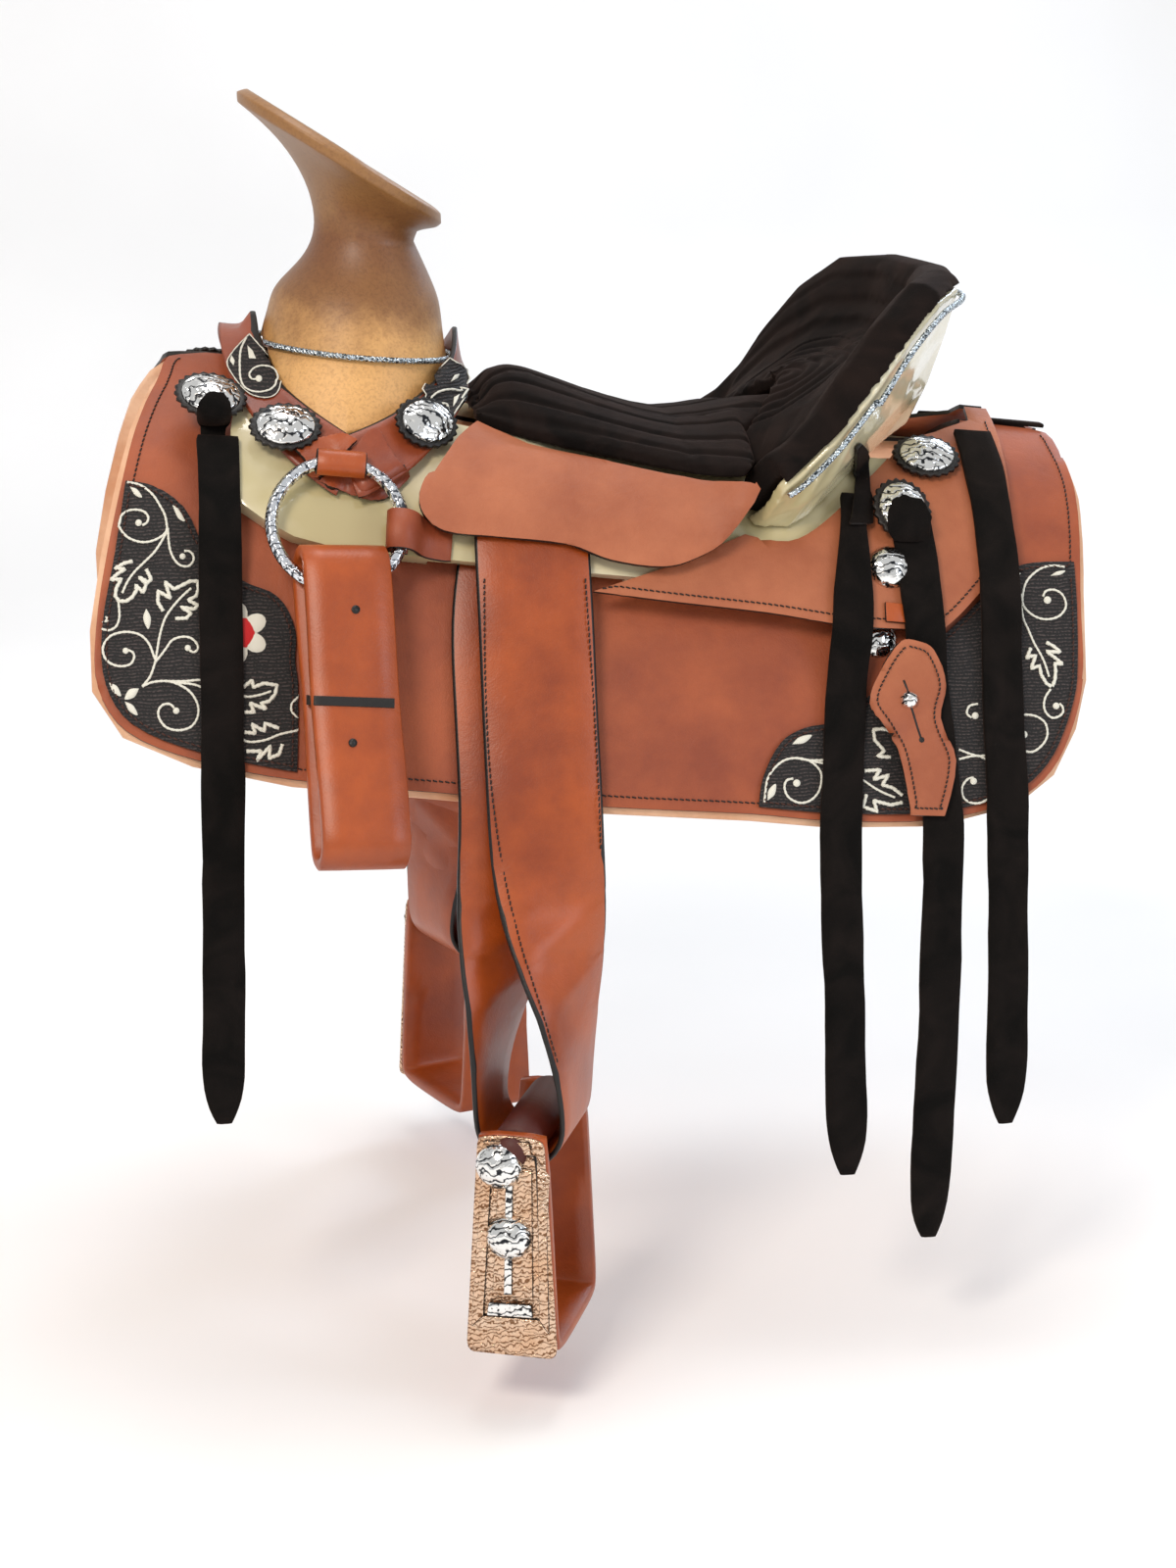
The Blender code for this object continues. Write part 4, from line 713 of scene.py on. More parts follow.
shell = {"voxel": 0.0022, "turns": 6}
mesh = nodes["cantle_shell"].data.copy()
mesh.materials.clear()
made = finishPiece("cantle_shell_dressed", mesh, bodyOf("cantle_shell"), "lacquered_wood", ivoryLacquer)
evenSkin(made, shell["voxel"], shell["turns"])
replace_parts(made, "cantle_shell")
for word in words:
    roundEdges(refined("tree_bar_" + word, ivoryLacquer, "lacquered_wood", 0), bars["arris"], 3, 40)
print("tree")

# soft seat and cantle pad
pads = {"voxel": 0.0023, "pressure": 4.0, "cap": 0.0030, "frames": 14, "quality": 4, "belly": 0.008, "bellyHalf": 0.09}


def plump(made):
    # inflates a remeshed pad a little, each point capped, then applies the simulation
    scene = bpy.context.scene
    rest = [v.co.copy() for v in made.data.vertices]
    cloth = made.modifiers.new("cloth", "CLOTH")
    cloth.settings.use_pressure = True
    cloth.settings.uniform_pressure_force = pads["pressure"]
    cloth.settings.effector_weights.gravity = 0
    cloth.settings.quality = pads["quality"]
    cloth.point_cache.frame_start, cloth.point_cache.frame_end = 1, pads["frames"]
    for k in range(1, pads["frames"] + 1):
        scene.frame_set(k)
    grown = made.evaluated_get(bpy.context.evaluated_depsgraph_get()).data
    moved = [v.co.copy() for v in grown.vertices]
    made.modifiers.remove(cloth)
    scene.frame_set(1)
    for v, a, b in zip(made.data.vertices, rest, moved):
        shift = b - a
        v.co = a + shift * min(1, pads["cap"] / max(shift.length, 1e-6))


def applied(made):
    # the piece's mesh with its modifiers made real
    ready = bpy.data.meshes.new_from_object(made.evaluated_get(bpy.context.evaluated_depsgraph_get()))
    made.modifiers.clear()
    made.data = ready
    return ready


def softPad(node, finish, slot, channels):
    work = bmesh.new()
    work.from_mesh(nodes[node].data)
    bmesh.ops.remove_doubles(work, verts=work.verts, dist=1e-6)
    work.normal_update()
    for v in work.verts:
        if node == "seat_pad" and v.normal.z < 0:      # more body under the thin middle of the seat
            v.co.z -= pads["belly"] * max(0, 1 - (v.co.y / pads["bellyHalf"]) ** 2)
    made = pieceFrom(work, node + "_dressed", bodyOf(node), slot, finish)
    evenSkin(made, pads["voxel"], 3)
    ready = applied(made)
    if not ready.materials:
        ready.materials.append(finish)
    plump(made)
    modify(made, "fine", "SUBSURF", levels=1, render_levels=1)
    ready = applied(made)
    normals = [v.normal.copy() for v in ready.vertices]
    for v, n in zip(ready.vertices, normals):
        v.co -= n * channels(v.co, n)
    for face in ready.polygons:
        face.use_smooth = True
    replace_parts(made, node)


def groove(distance, width=0.0030, depth=0.0022):
    return depth * math.exp(-(distance / width) ** 2)


seatQuilt = {"front": 0.082, "spread": 0.36, "at": (0.16, 0.42, 0.68, 0.88)}


def seatChannels(p, n):
    # long sewn channels that follow the seat's edge
    if n.z < 0.25:
        return 0.0
    flat = pitch.inverted() @ p
    half = seatQuilt["front"] + seatQuilt["spread"] * min(max(flat.x + 0.09, 0), 0.19)
    across = abs(flat.y) / half
    return sum(groove((across - k) * half) for k in seatQuilt["at"])


scroll = {"centre": (800, 385), "gap": 0.0125, "reach": 0.062, "near": 0.06, "eye": 0.006}
scrollAt, scrollOut = trace("cantle_pad", [scroll["centre"]])[0]


def cantleChannels(p, n):
    # a sewn scroll on each half of the cantle's inner face
    spot = Vector((p.x, -abs(p.y), p.z)) - scrollAt
    up = (Vector((0, 0, 1)) - scrollOut * scrollOut.z).normalized()
    side = up.cross(scrollOut)
    a, b = spot.dot(side), spot.dot(up)
    radius = math.hypot(a, b)
    out = Vector((scrollOut.x, abs(scrollOut.y) * (-1 if p.y < 0 else 1), scrollOut.z))
    if abs(spot.dot(scrollOut)) > scroll["near"] or radius > scroll["reach"] or n.dot(out) < 0.2:
        return 0.0
    turned = (radius / scroll["gap"] - math.atan2(b, a) / (2 * math.pi)) % 1.0
    return groove(min(turned, 1 - turned) * scroll["gap"]) * min(1, radius / scroll["eye"])


softPad("seat_pad", blackSuede, "black_suede", seatChannels)
softPad("cantle_pad", blackSuede, "black_suede", cantleChannels)
refined("ridge_lacing", blackSuede, "black_suede", 1)
print("pads")

# skirts, linings, patches, jockeys, flaps, billets
front, rear, drop = -0.340, 0.351, 0.337
skirtEdge = [
    (front + 0.042, 0.008), (front + 0.026, 0.049), (front + 0.014, 0.094), (front + 0.007, 0.136), (front, 0.188),
    (front - 0.004, 0.242), (front, drop - 0.055), (front + 0.021, drop - 0.027), (front + 0.068, drop - 0.011),
    (-0.205, drop - 0.002), (-0.105, drop), (0.011, drop + 0.002), (0.114, drop), (0.170, drop + 0.001),
    (0.248, drop - 0.005), (rear - 0.047, drop - 0.023), (rear - 0.022, drop - 0.045), (rear - 0.007, drop - 0.078),
    (rear, drop - 0.113), (rear - 0.002, 0.160), (rear + 0.001, 0.083), (rear - 0.002, 0.043), (rear - 0.014, 0.006)]
skirtTop = [(0.280, 0.0010), (0.266, 0.058), (-0.246, 0.058), (-0.256, 0.0010), (-0.280, 0.0010)]
skirtLine = smoothLine(skirtEdge, 4, False) + skirtTop
frontPatch = smoothLine([
    (-0.331, 0.139, 1), (-0.316, 0.140), (-0.301, 0.146), (-0.288, 0.157), (-0.276, 0.178), (-0.249, 0.201),
    (-0.223, 0.211), (-0.210, 0.233), (-0.209, 0.254), (-0.206, 0.271), (-0.203, 0.330, 1), (-0.270, 0.321),
    (-0.316, 0.305), (-0.335, 0.280), (-0.340, 0.242), (-0.335, 0.190)])
rearPatch = smoothLine([
    (0.344, 0.141, 1), (0.314, 0.144), (0.296, 0.151), (0.253, 0.196), (0.210, 0.235), (0.168, 0.269),
    (0.148, 0.275), (0.132, 0.286), (0.120, 0.312), (0.118, 0.332, 1), (0.170, 0.333), (0.247, 0.327),
    (0.302, 0.309), (0.325, 0.288), (0.339, 0.257), (0.346, 0.224)])
jockeyLine = smoothLine([
    (0.099, 0.142, 1), (0.130, 0.146), (0.156, 0.131), (0.190, 0.096), (0.227, 0.055), (0.251, 0.041),
    (0.279, 0.023, 1), (0.281, 0.001, 1), (0.298, 0.001, 1), (0.298, 0.060), (0.297, 0.099), (0.290, 0.143),
    (0.261, 0.183), (0.244, 0.200, 1), (0.177, 0.204), (0.114, 0.200), (0.044, 0.197), (-0.008, 0.194, 1)])
billetLine = smoothLine([
    (0.210, 0.214), (0.197, 0.236), (0.192, 0.256), (0.203, 0.272), (0.214, 0.290), (0.224, 0.332, 1),
    (0.248, 0.331, 1), (0.255, 0.292), (0.243, 0.263), (0.246, 0.240), (0.234, 0.218), (0.222, 0.213)])
flapLower = [
    (0.100, 0.122), (0.084, 0.151), (0.062, 0.165), (0.038, 0.173), (0.003, 0.171), (-0.028, 0.163), (-0.081, 0.163),
    (-0.114, 0.163), (-0.129, 0.154), (-0.132, 0.140), (-0.122, 0.125)]


def firstRun(node, x, side):
    # how far down the side a solid begins
    for k in range(200):
        if topOf(node, x, 0.04 + k * 0.0006, side):
            return 0.04 + k * 0.0006 + 0.0004
    return 0.1


def seam(name, node, line, slot, finish, closed=True, pitch=0.0042):
    stitches(name, [patternRun(node, line, closed)], bodyOf(node), slot, finish, pitch)


seams = {"skirt": 0.0075, "patch": 0.0035, "jockey": 0.0065, "billet": 0.0050}      # how far in from the edge
for word in words:
    panel("skirt_" + word, skirtLine, skirtLeather, "saddle_leather", thickness=0.0038)
    refined("skirt_lining_" + word, liningFelt, "lining_leather", 0)
    panel("front_patch_" + word, frontPatch, patchGround, "embroidered_suede", thickness=0.0017, rounding=0.0005)
    panel("rear_patch_" + word, rearPatch, patchGround, "embroidered_suede", thickness=0.0017, rounding=0.0005)
    panel("rear_jockey_" + word, jockeyLine, roseLeather, "rose_leather", thickness=0.0032)
    flap = "seat_flap_" + word
    upper = [(x, firstRun(flap, x, sideOf(word))) for x in [-0.089 + 0.188 * k / 16 for k in range(17)]]
    panel(flap, upper + smoothLine(flapLower, 4, False), roseLeather, "rose_leather", thickness=0.0033, cell=0.006)
    panel("billet_" + word, billetLine, roseLeather, "rose_leather", thickness=0.0036)
    seam("skirt_stitches_" + word, "skirt_" + word, inset(smoothLine(skirtEdge, 4, False), seams["skirt"]),
         "saddle_leather", blackThread, closed=False)
    for label, line in (("front_patch", frontPatch), ("rear_patch", rearPatch)):
        seam(label + "_stitches_" + word, label + "_" + word, inset(line, seams["patch"]), "embroidered_suede",
             tanThread)
    seam("jockey_stitches_" + word, "rear_jockey_" + word, inset(jockeyLine, seams["jockey"])[28:], "rose_leather",
         blackThread, closed=False)
    seam("billet_stitches_" + word, "billet_" + word, inset(billetLine, seams["billet"]), "rose_leather", blackThread,
         pitch=0.0034)
print("panels")


# embroidery, read off crops of the picture
def picked(points, corner, scale):
    # points read off a crop with this corner and scale, as picture points
    return [(corner[0] + x / scale, corner[1] + y / scale) for x, y in points]


def ringThrough(points, step):
    # smooth closed outline
    return curveThrough(points + points[:1], step)[:-1]


def spotOn(dot, corner, scale):
    x, y, r = dot
    return disc(corner[0] + x / scale, corner[1] + y / scale, r / scale)


frontWork = {
    "corner": (90, 480), "scale": 4.9, "strands": [
        [(195, 60), (260, 75), (320, 120), (360, 180), (385, 230), (395, 290)],
        [(395, 290), (380, 320), (330, 350), (270, 360), (205, 340), (165, 300), (152, 262), (168, 225), (200, 203),
         (240, 198), (280, 208), (300, 235), (293, 262), (270, 276)],
        [(398, 290), (402, 350), (410, 400), (430, 445), (460, 475), (500, 480), (525, 455), (525, 425), (505, 405),
         (480, 404)],
        [(395, 300), (370, 350), (330, 410), (280, 460), (230, 510), (195, 560), (170, 615)],
        [(150, 650), (155, 700), (155, 740), (140, 780), (105, 800), (65, 790), (45, 760), (50, 735), (75, 727)],
        [(340, 960), (325, 920), (305, 870), (270, 830), (225, 812), (170, 810), (110, 830), (75, 880), (80, 930),
         (110, 965), (160, 980), (210, 970), (230, 935), (222, 910), (200, 900)],
        [(335, 960), (345, 900), (355, 840), (370, 780), (390, 730), (425, 680), (470, 630), (515, 590)],
        [(335, 960), (360, 930), (390, 890), (420, 850), (470, 833), (515, 840), (545, 870), (548, 895), (528, 910),
         (505, 900)],
        [(335, 960), (310, 1030), (270, 1082)],
        [(270, 1082), (320, 1060), (400, 1055), (470, 1080), (520, 1120), (550, 1180), (545, 1240), (510, 1285),
         (450, 1300), (390, 1285), (355, 1240), (352, 1200), (375, 1172), (410, 1170), (430, 1190)],
        [(400, 1055), (480, 1055), (580, 1050), (690, 1085), (780, 1130), (850, 1125), (915, 1105)],
        [(440, 1062), (560, 1082), (680, 1180), (740, 1300), (790, 1355), (880, 1350), (960, 1320), (1050, 1300)],
        [(1055, 1130), (1020, 1165), (1018, 1205), (1050, 1240)]],
    "toothed": [
        [(222, 455), (180, 465), (135, 490), (185, 495), (150, 515), (115, 548), (165, 545), (140, 590), (135, 630),
         (155, 655), (190, 655), (220, 635), (242, 600), (238, 575), (275, 612), (290, 570), (255, 535), (300, 560),
         (315, 545), (290, 495)],
        [(375, 705), (348, 660), (350, 605), (410, 640), (385, 560), (430, 595), (470, 575), (510, 555), (550, 555),
         (550, 600), (540, 630), (500, 650), (550, 675), (530, 695), (465, 685), (515, 715), (490, 740), (435, 742)],
        [(775, 1085), (820, 1050), (825, 1085), (880, 1065), (945, 1075), (935, 1120), (905, 1155), (865, 1165),
         (890, 1195), (810, 1165), (830, 1210), (780, 1210)],
        [(780, 1310), (835, 1315), (820, 1270), (880, 1305), (885, 1265), (955, 1290)],
        [(790, 1405), (865, 1405), (845, 1450), (910, 1380), (905, 1440), (955, 1420), (972, 1370)]],
    "leaves": [
        [(207, 80), (245, 95), (270, 135), (235, 125)], [(420, 172), (450, 190), (485, 253), (450, 240)],
        [(290, 690), (314, 740), (300, 795), (274, 740)], [(103, 1060), (145, 1080), (165, 1130), (125, 1110)],
        [(255, 1090), (205, 1095), (182, 1145), (230, 1135)], [(182, 1155), (225, 1175), (248, 1225), (205, 1205)]],
    "dots": [(252, 262, 17), (472, 430, 16), (88, 745, 16), (187, 902, 16), (498, 888, 16), (440, 1202, 17)]}
rearWork = {
    "corner": (770, 700), "scale": 4.612, "strands": [
        [(45, 550), (50, 500), (60, 440), (90, 390), (140, 350), (200, 340), (260, 355), (305, 395), (315, 440),
         (300, 500), (260, 540), (210, 550), (160, 525), (140, 480), (150, 445), (180, 436)],
        [(200, 340), (260, 350), (360, 347), (480, 330)],
        [(270, 355), (355, 373), (470, 420), (580, 490), (660, 525)],
        [(400, 215), (370, 225), (352, 250), (370, 280)], [(1050, 85), (1010, 95), (998, 130), (1020, 150)],
        [(960, 300), (1060, 330), (1150, 300), (1220, 220), (1260, 160)],
        [(960, 345), (1060, 332), (1140, 400), (1150, 480), (1085, 540), (1030, 552), (985, 530), (975, 480),
         (1000, 440), (1030, 432)]],
    "toothed": [
        [(640, 212), (600, 202), (558, 205), (565, 255), (610, 305), (578, 332), (640, 335)],
        [(515, 400), (590, 395), (560, 440), (630, 420), (600, 465), (650, 480), (695, 515)],
        [(695, 548), (640, 560), (560, 540), (575, 590), (510, 570), (525, 510)]],
    "leaves": [
        [(175, 275), (210, 240), (270, 230), (235, 268)], [(60, 540), (65, 490), (100, 460), (95, 510)]],
    "dots": [(198, 457, 18), (1038, 140, 17), (1030, 448, 17)]}
hindWork = {
    "corner": (1000, 560), "scale": 5.6, "strands": [
        [(482, 105), (422, 98), (361, 108), (308, 140), (264, 190), (245, 250), (242, 310), (264, 350), (308, 385),
         (361, 403), (414, 400), (458, 380), (487, 340), (487, 300), (466, 260), (431, 238), (396, 236), (370, 248),
         (359, 275)],
        [(238, 260), (216, 320), (194, 400), (165, 432)],
        [(233, 320), (246, 400), (273, 460), (308, 540), (348, 610), (374, 670), (393, 732)],
        [(402, 803), (372, 850), (364, 900), (378, 940), (413, 967), (455, 955), (474, 930), (468, 900), (453, 885)],
        [(182, 980), (231, 953), (284, 950), (334, 965), (373, 1000), (384, 1060), (364, 1110), (322, 1150),
         (285, 1162), (243, 1150), (213, 1120), (207, 1085), (222, 1065)]],
    "toothed": [
        [(289, 568), (264, 628), (286, 615), (317, 612), (290, 685), (339, 670), (348, 720), (378, 770), (407, 788)],
        [(377, 535), (422, 560), (458, 592), (431, 590), (378, 588), (422, 620), (471, 660), (427, 655), (431, 700),
         (427, 750), (412, 788)]],
    "leaves": [
        [(148, 190), (176, 155), (233, 138), (202, 172)], [(400, 155), (440, 130), (488, 125), (458, 150)],
        [(180, 640), (201, 635), (204, 680), (192, 725)]],
    "dots": [(385, 293, 22), (435, 898, 20), (250, 1062, 22)]}


def patchWork(label, node, drawn):
    crop = (drawn["corner"], drawn["scale"])
    leaves = [ringThrough(picked(q, *crop), 2.0) for q in drawn["leaves"]]
    leaves += [spotOn(dot, *crop) for dot in drawn["dots"]]
    embroider(label + "_scrolls", node, [(picked(q, *crop), 1.0) for q in drawn["strands"]], leaves, creamThread)
    heavy = []
    for outline in drawn["toothed"]:      # straight runs keep the teeth sharp
        spots = picked(outline, *crop)
        run = []
        for a, b in zip(spots, spots[1:]):
            run += [(a[0] + (b[0] - a[0]) * k / 4, a[1] + (b[1] - a[1]) * k / 4) for k in range(4)]
        heavy.append((run + [spots[-1]], floss["heavy"]))
    embroider(label + "_leaves", node, heavy, [], creamThread)


patchWork("front_patch", "front_patch_near", frontWork)
patchWork("rear_patch", "rear_patch_near", rearWork)
patchWork("rear_patch_edge", "rear_patch_near", hindWork)
flower = {"at": (243, 646), "petals": 6, "ring": 19, "long": 13, "wide": 10, "points": 14, "heart": 17, "rise": 0.0008}
petals = []
for k in range(flower["petals"]):
    a = 2 * math.pi * (k + 0.5) / flower["petals"]
    cx, cy = flower["at"][0] + flower["ring"] * math.cos(a), flower["at"][1] + flower["ring"] * math.sin(a)
    turns = [2 * math.pi * j / flower["points"] for j in range(flower["points"])]
    petals.append([(cx + flower["long"] * math.cos(t) * math.cos(a) - flower["wide"] * math.sin(t) * math.sin(a),
                    cy + flower["long"] * math.cos(t) * math.sin(a) + flower["wide"] * math.sin(t) * math.cos(a))
                   for t in turns])
embroider("flower_petals", "front_patch_near", [], petals, creamThread)
embroider("flower_heart", "front_patch_near", [], [disc(*flower["at"], flower["heart"], 18)], redFloss)
for word in words:
    up = outOf(0.22, sideOf(word))
    for v in bpy.data.objects["flower_heart_" + word].data.vertices:
        v.co += up * flower["rise"]
print("embroidery")

# straps, latigos, leathers, stirrups
for word in words:
    refined("collar_loop_" + word, orangeLeather, "orange_leather", edge=0.0035, crease=0.8)
    refined("rigging_strap_" + word, skirtLeather, "saddle_leather", 1, edge=0.0035, crease=0.8)
    refined("latigo_" + word, orangeLeather, "orange_leather", edge=0.0060, crease=0.8)
    refined("stirrup_leather_" + word, orangeLeather, "orange_leather", edge=0.0050, crease=0.85)
    refined("stirrup_frame_" + word, orangeLeather, "orange_leather", crease=0.85)
    refined("stirrup_face_" + word, plateSilver, "engraved_silver", crease=0.9)
    refined("stirrup_bolt_" + word, innerLeather, "engraved_silver", 1)
    refined("rigging_ring_" + word, ringSilver, "engraved_silver")
    for label in ("front", "cantle", "middle", "rear"):
        refined("tie_%s_%s" % (label, word), tieSuede, "black_suede", crease=0.9, wave=0.0030)
for label in ("front", "rear"):
    refined("collar_%s_strap" % label, collarLeather, "saddle_leather", edge=0.0050, crease=0.85)
print("straps")


# conchos: scalloped black leather rosette under a domed, engraved silver disc
concho = {"scallops": 22, "depth": 0.045, "rosette": 0.0030, "rise": 0.0062, "share": 0.80, "points": 88, "round": 0.78}


def discFrame(node):
    # foot, axis, long direction, largest and smallest radius of a disc's solid
    mesh = nodes[node].data
    spots = [v.co.copy() for v in mesh.vertices]
    best = max(mesh.polygons, key=lambda f: f.area).normal
    total = Vector()
    for face in mesh.polygons:
        n = face.normal
        total += (n if n.dot(best) > 0 else -n) * face.area * (1 if abs(n.dot(best)) > 0.8 else 0)
    axis = total.normalized()
    middle = sum(spots, Vector()) / len(spots)
    if axis.dot(Vector((0, middle.y, 0.05))) < 0:
        axis = -axis

    def across(q, origin):
        # the way from the origin in the disc's plane
        return (q - origin) - axis * (q - origin).dot(axis)

    reach = max(across(q, middle).length for q in spots)
    rim = [q for q in spots if across(q, middle).length > reach * 0.8]
    foot = sum(rim, Vector()) / len(rim)
    base = min((q - foot).dot(axis) for q in rim)
    wide = max(rim, key=lambda q: (q - foot).length)
    return foot + axis * base, axis, across(wide, foot).normalized(), reach, min(across(q, foot).length for q in rim)


def makeConcho(node):
    place, axis, long, radius, narrow = discFrame(node)
    cross = axis.cross(long).normalized()
    squeeze = max(narrow, radius * concho["round"]) / radius
    depth, rosette, share = concho["depth"], concho["rosette"], concho["share"]

    def ring(work, size, height, wavy=0.0):
        made = []
        for k in range(concho["points"]):
            a = 2 * math.pi * k / concho["points"]
            r = radius * size * (1 + wavy * math.cos(concho["scallops"] * a))
            flat = long * r * math.cos(a) + cross * r * squeeze * math.sin(a)
            made.append(work.verts.new(place + flat + axis * height))
        return made

    work = bmesh.new()
    joinRings(work, [ring(work, 0.955, 0.0, depth), ring(work, 0.955, rosette * 0.8, depth),
                     ring(work, 0.92, rosette, depth), ring(work, 0.80, rosette * 0.9)])
    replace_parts(pieceFrom(work, node + "_rosette", bodyOf(node), "concho_silver", burnishedAndShade), node)
    work = bmesh.new()
    base = rosette * 0.9
    rings = [ring(work, share, base), ring(work, share, base + 0.0008)]
    for t in (0.97, 0.93, 0.85, 0.74, 0.60, 0.44, 0.30, 0.16, 0.06):
        swell = concho["rise"] * (1 - t ** 2.2) + 0.0009 + (0.0009 if t > 0.9 else 0.0)      # a rolled rim
        rings.append(ring(work, share * t, base + swell))
    joinRings(work, rings)
    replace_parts(pieceFrom(work, node + "_silver", bodyOf(node), "concho_silver", conchoSilver), node)


for word in words:
    for label in ("front", "rear_upper", "rear_middle", "collar_front", "collar_rear"):
        makeConcho("concho_%s_%s" % (label, word))
print("conchos")

# domes, and painted shade in the billet's slot and hole
domes = {
    "dome": {"on": "rear_jockey_near", "at": (907, 579), "radius": 0.0155, "height": 0.0100, "stand": 0.0},
    "low_dome": {"on": "rear_patch_near+skirt_near", "at": (896, 652), "radius": 0.0135, "height": 0.0060, "stand": 0.0},
    "billet_stud": {"on": "billet_near", "at": (928, 714), "radius": 0.0065, "height": 0.0060, "stand": 0.0}}


def turnedDome(name, form, word, slot, sides=28):
    # a turned dome standing on a near piece, or its mirror on the off one
    place, axis = sided(trace(form["on"], [form["at"]]), word)[0]
    place = place + axis * form["stand"]
    long = axis.orthogonal().normalized()
    cross = axis.cross(long)
    wide, high = form["radius"], form["height"]
    work = bmesh.new()
    rings, turns = [], [2 * math.pi * k / sides for k in range(sides)]
    for t in (0.0, 0.06, 0.16, 0.30, 0.46, 0.62, 0.78, 0.90, 0.975):
        a = t * math.pi / 2
        rings.append([work.verts.new(place + (long * math.cos(q) + cross * math.sin(q)) * wide * math.cos(a)
                                     + axis * high * math.sin(a)) for q in turns])
    joinRings(work, rings)
    pieceFrom(work, name + "_" + word, bodyOf(twin(form["on"].split("+")[0], word)), slot, conchoSilver)


for name, form in domes.items():
    for word in words:
        turnedDome(name, form, word, "concho_silver")
# the billet's slot and hole are not cut: black cords laid on the billet along them are painted shade in the openings
for label, line, radius in (("billet_slot", [(922, 694), (926, 704), (930, 722), (936, 742), (940, 754)], 0.0009),
                            ("billet_hole", disc(940.5, 755, 1.6, 8) + [(942.1, 755)], 0.0011)):
    for word in words:
        work = bmesh.new()
        tube(work, sided(trace("billet_near", line, 0.0001), word), radius, 0.5, 6)
        pieceFrom(work, label + "_" + word, bodyOf("billet_" + word), "rose_leather", burnishedAndShade)
print("small parts")


# details laid on the straps: black inlays, keepers, black discs of painted shade in the holes, stitching
def applique(name, node, outline, finish, slot, lift, thick, cell=5.0, rounding=0.0004, stands=None, body=None, even=0):
    # a thin piece cut to a picture outline and laid on a near solid, with its mirror on the off side;
    # even is the number of smoothing turns, stands the node that it stands for
    for word in words:
        work = gridded(outline, cell, 1e-4)
        found = trace(node, [(v.co.x, v.co.y) for v in work.verts], lift)
        for k in range(even):
            spots = {v: Vector(q) for v, (q, n) in zip(work.verts, found)}
            found = [((q + sum((spots[e.other_vert(v)] for e in v.link_edges), Vector()) / len(v.link_edges)) / 2, n)
                     for v, (q, n) in zip(work.verts, found)]
        found = sided(found, word)
        for v, (q, n) in zip(work.verts, found):
            v.co = q
        turnOut(work, sum((n for q, n in found), Vector()))
        made = pieceFrom(work, name + "_" + word, body or bodyOf(twin(node, word)), slot, finish, burnishedAndShade)
        if stands:
            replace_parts(made, stands + "_" + word)
        thicken(made, thick, rounding)


collar = ((180, 300), 4.612)      # corner and scale of the crop
braid = {"strand": 0.0008, "edge": 0.0005, "strandLift": 0.0004, "leafLift": 0.0002}
inlays = {
    "collar_front_strap": {"rise": 0.0014, "dot": (388, 405, 16),
        "shape":
            [(345, 195), (400, 260), (450, 330), (482, 390), (488, 445), (455, 485), (400, 492), (345, 475),
             (295, 430), (240, 345), (250, 300), (300, 240)],
        "line":
            [(330, 215), (305, 270), (298, 340), (302, 410), (322, 448), (370, 468), (430, 462), (468, 430),
             (470, 390), (450, 358), (410, 346), (368, 357), (345, 385), (355, 408), (380, 408)],
        "leaves": [
            [(335, 250), (360, 275), (375, 312), (342, 310)], [(258, 296), (274, 322), (268, 345), (250, 322)]]},
    "collar_rear_strap": {"rise": 0.0034, "dot": (1240, 560, 14),
        "shape":
            [(1290, 320), (1335, 345), (1370, 400), (1378, 460), (1345, 515), (1300, 580), (1250, 640), (1205, 638),
             (1170, 590), (1156, 520), (1168, 455), (1205, 405), (1250, 360)],
        "line":
            [(1370, 470), (1300, 457), (1230, 462), (1188, 490), (1176, 540), (1192, 588), (1230, 618), (1262, 612),
             (1276, 570), (1262, 532), (1235, 524), (1218, 545), (1232, 566)],
        "leaves": [
            [(1270, 417), (1288, 388), (1310, 377), (1300, 405)],
            [(1297, 548), (1300, 505), (1328, 490), (1312, 528)]]}}
for node, inlay in inlays.items():
    rise = inlay["rise"]
    spots = ringThrough(picked(inlay["shape"], *collar), 3.0)
    applique(node + "_inlay", node, spots, patchGround, "embroidered_suede", lift=0.0013, thick=0.0014)
    for word in words:
        work = bmesh.new()
        strand = trace(node, curveThrough(picked(inlay["line"], *collar)), rise + braid["strandLift"])
        tube(work, sided(strand, word), braid["strand"], floss["flat"], floss["sides"], floss["beads"])
        edge = trace(node, spots + spots[:1], rise)
        tube(work, sided(edge, word), braid["edge"], floss["flat"], sides=5, beads=0.25)
        for leaf in [picked(q, *collar) for q in inlay["leaves"]] + [spotOn(inlay["dot"], *collar)]:
            satin(work, sided(trace(node, leaf, rise + braid["leafLift"]), word))
        bmesh.ops.recalc_face_normals(work, faces=work.faces)
        pieceFrom(work, node + "_scroll_" + word, "saddle", "embroidered_suede", creamThread)


applique("billet_hanger", "rear_jockey_near", [(902, 615), (931, 618), (929, 637), (903, 635)], orangeLeather,
         "orange_leather", lift=0.0030, thick=0.0030, cell=60, rounding=0.0007)
applique("latigo_keeper", "latigo_near", [(312, 710), (402, 713), (402, 723), (312, 720)], burnishedAndShade, "orange_leather",
         lift=0.0016, thick=0.0016, cell=8.0)
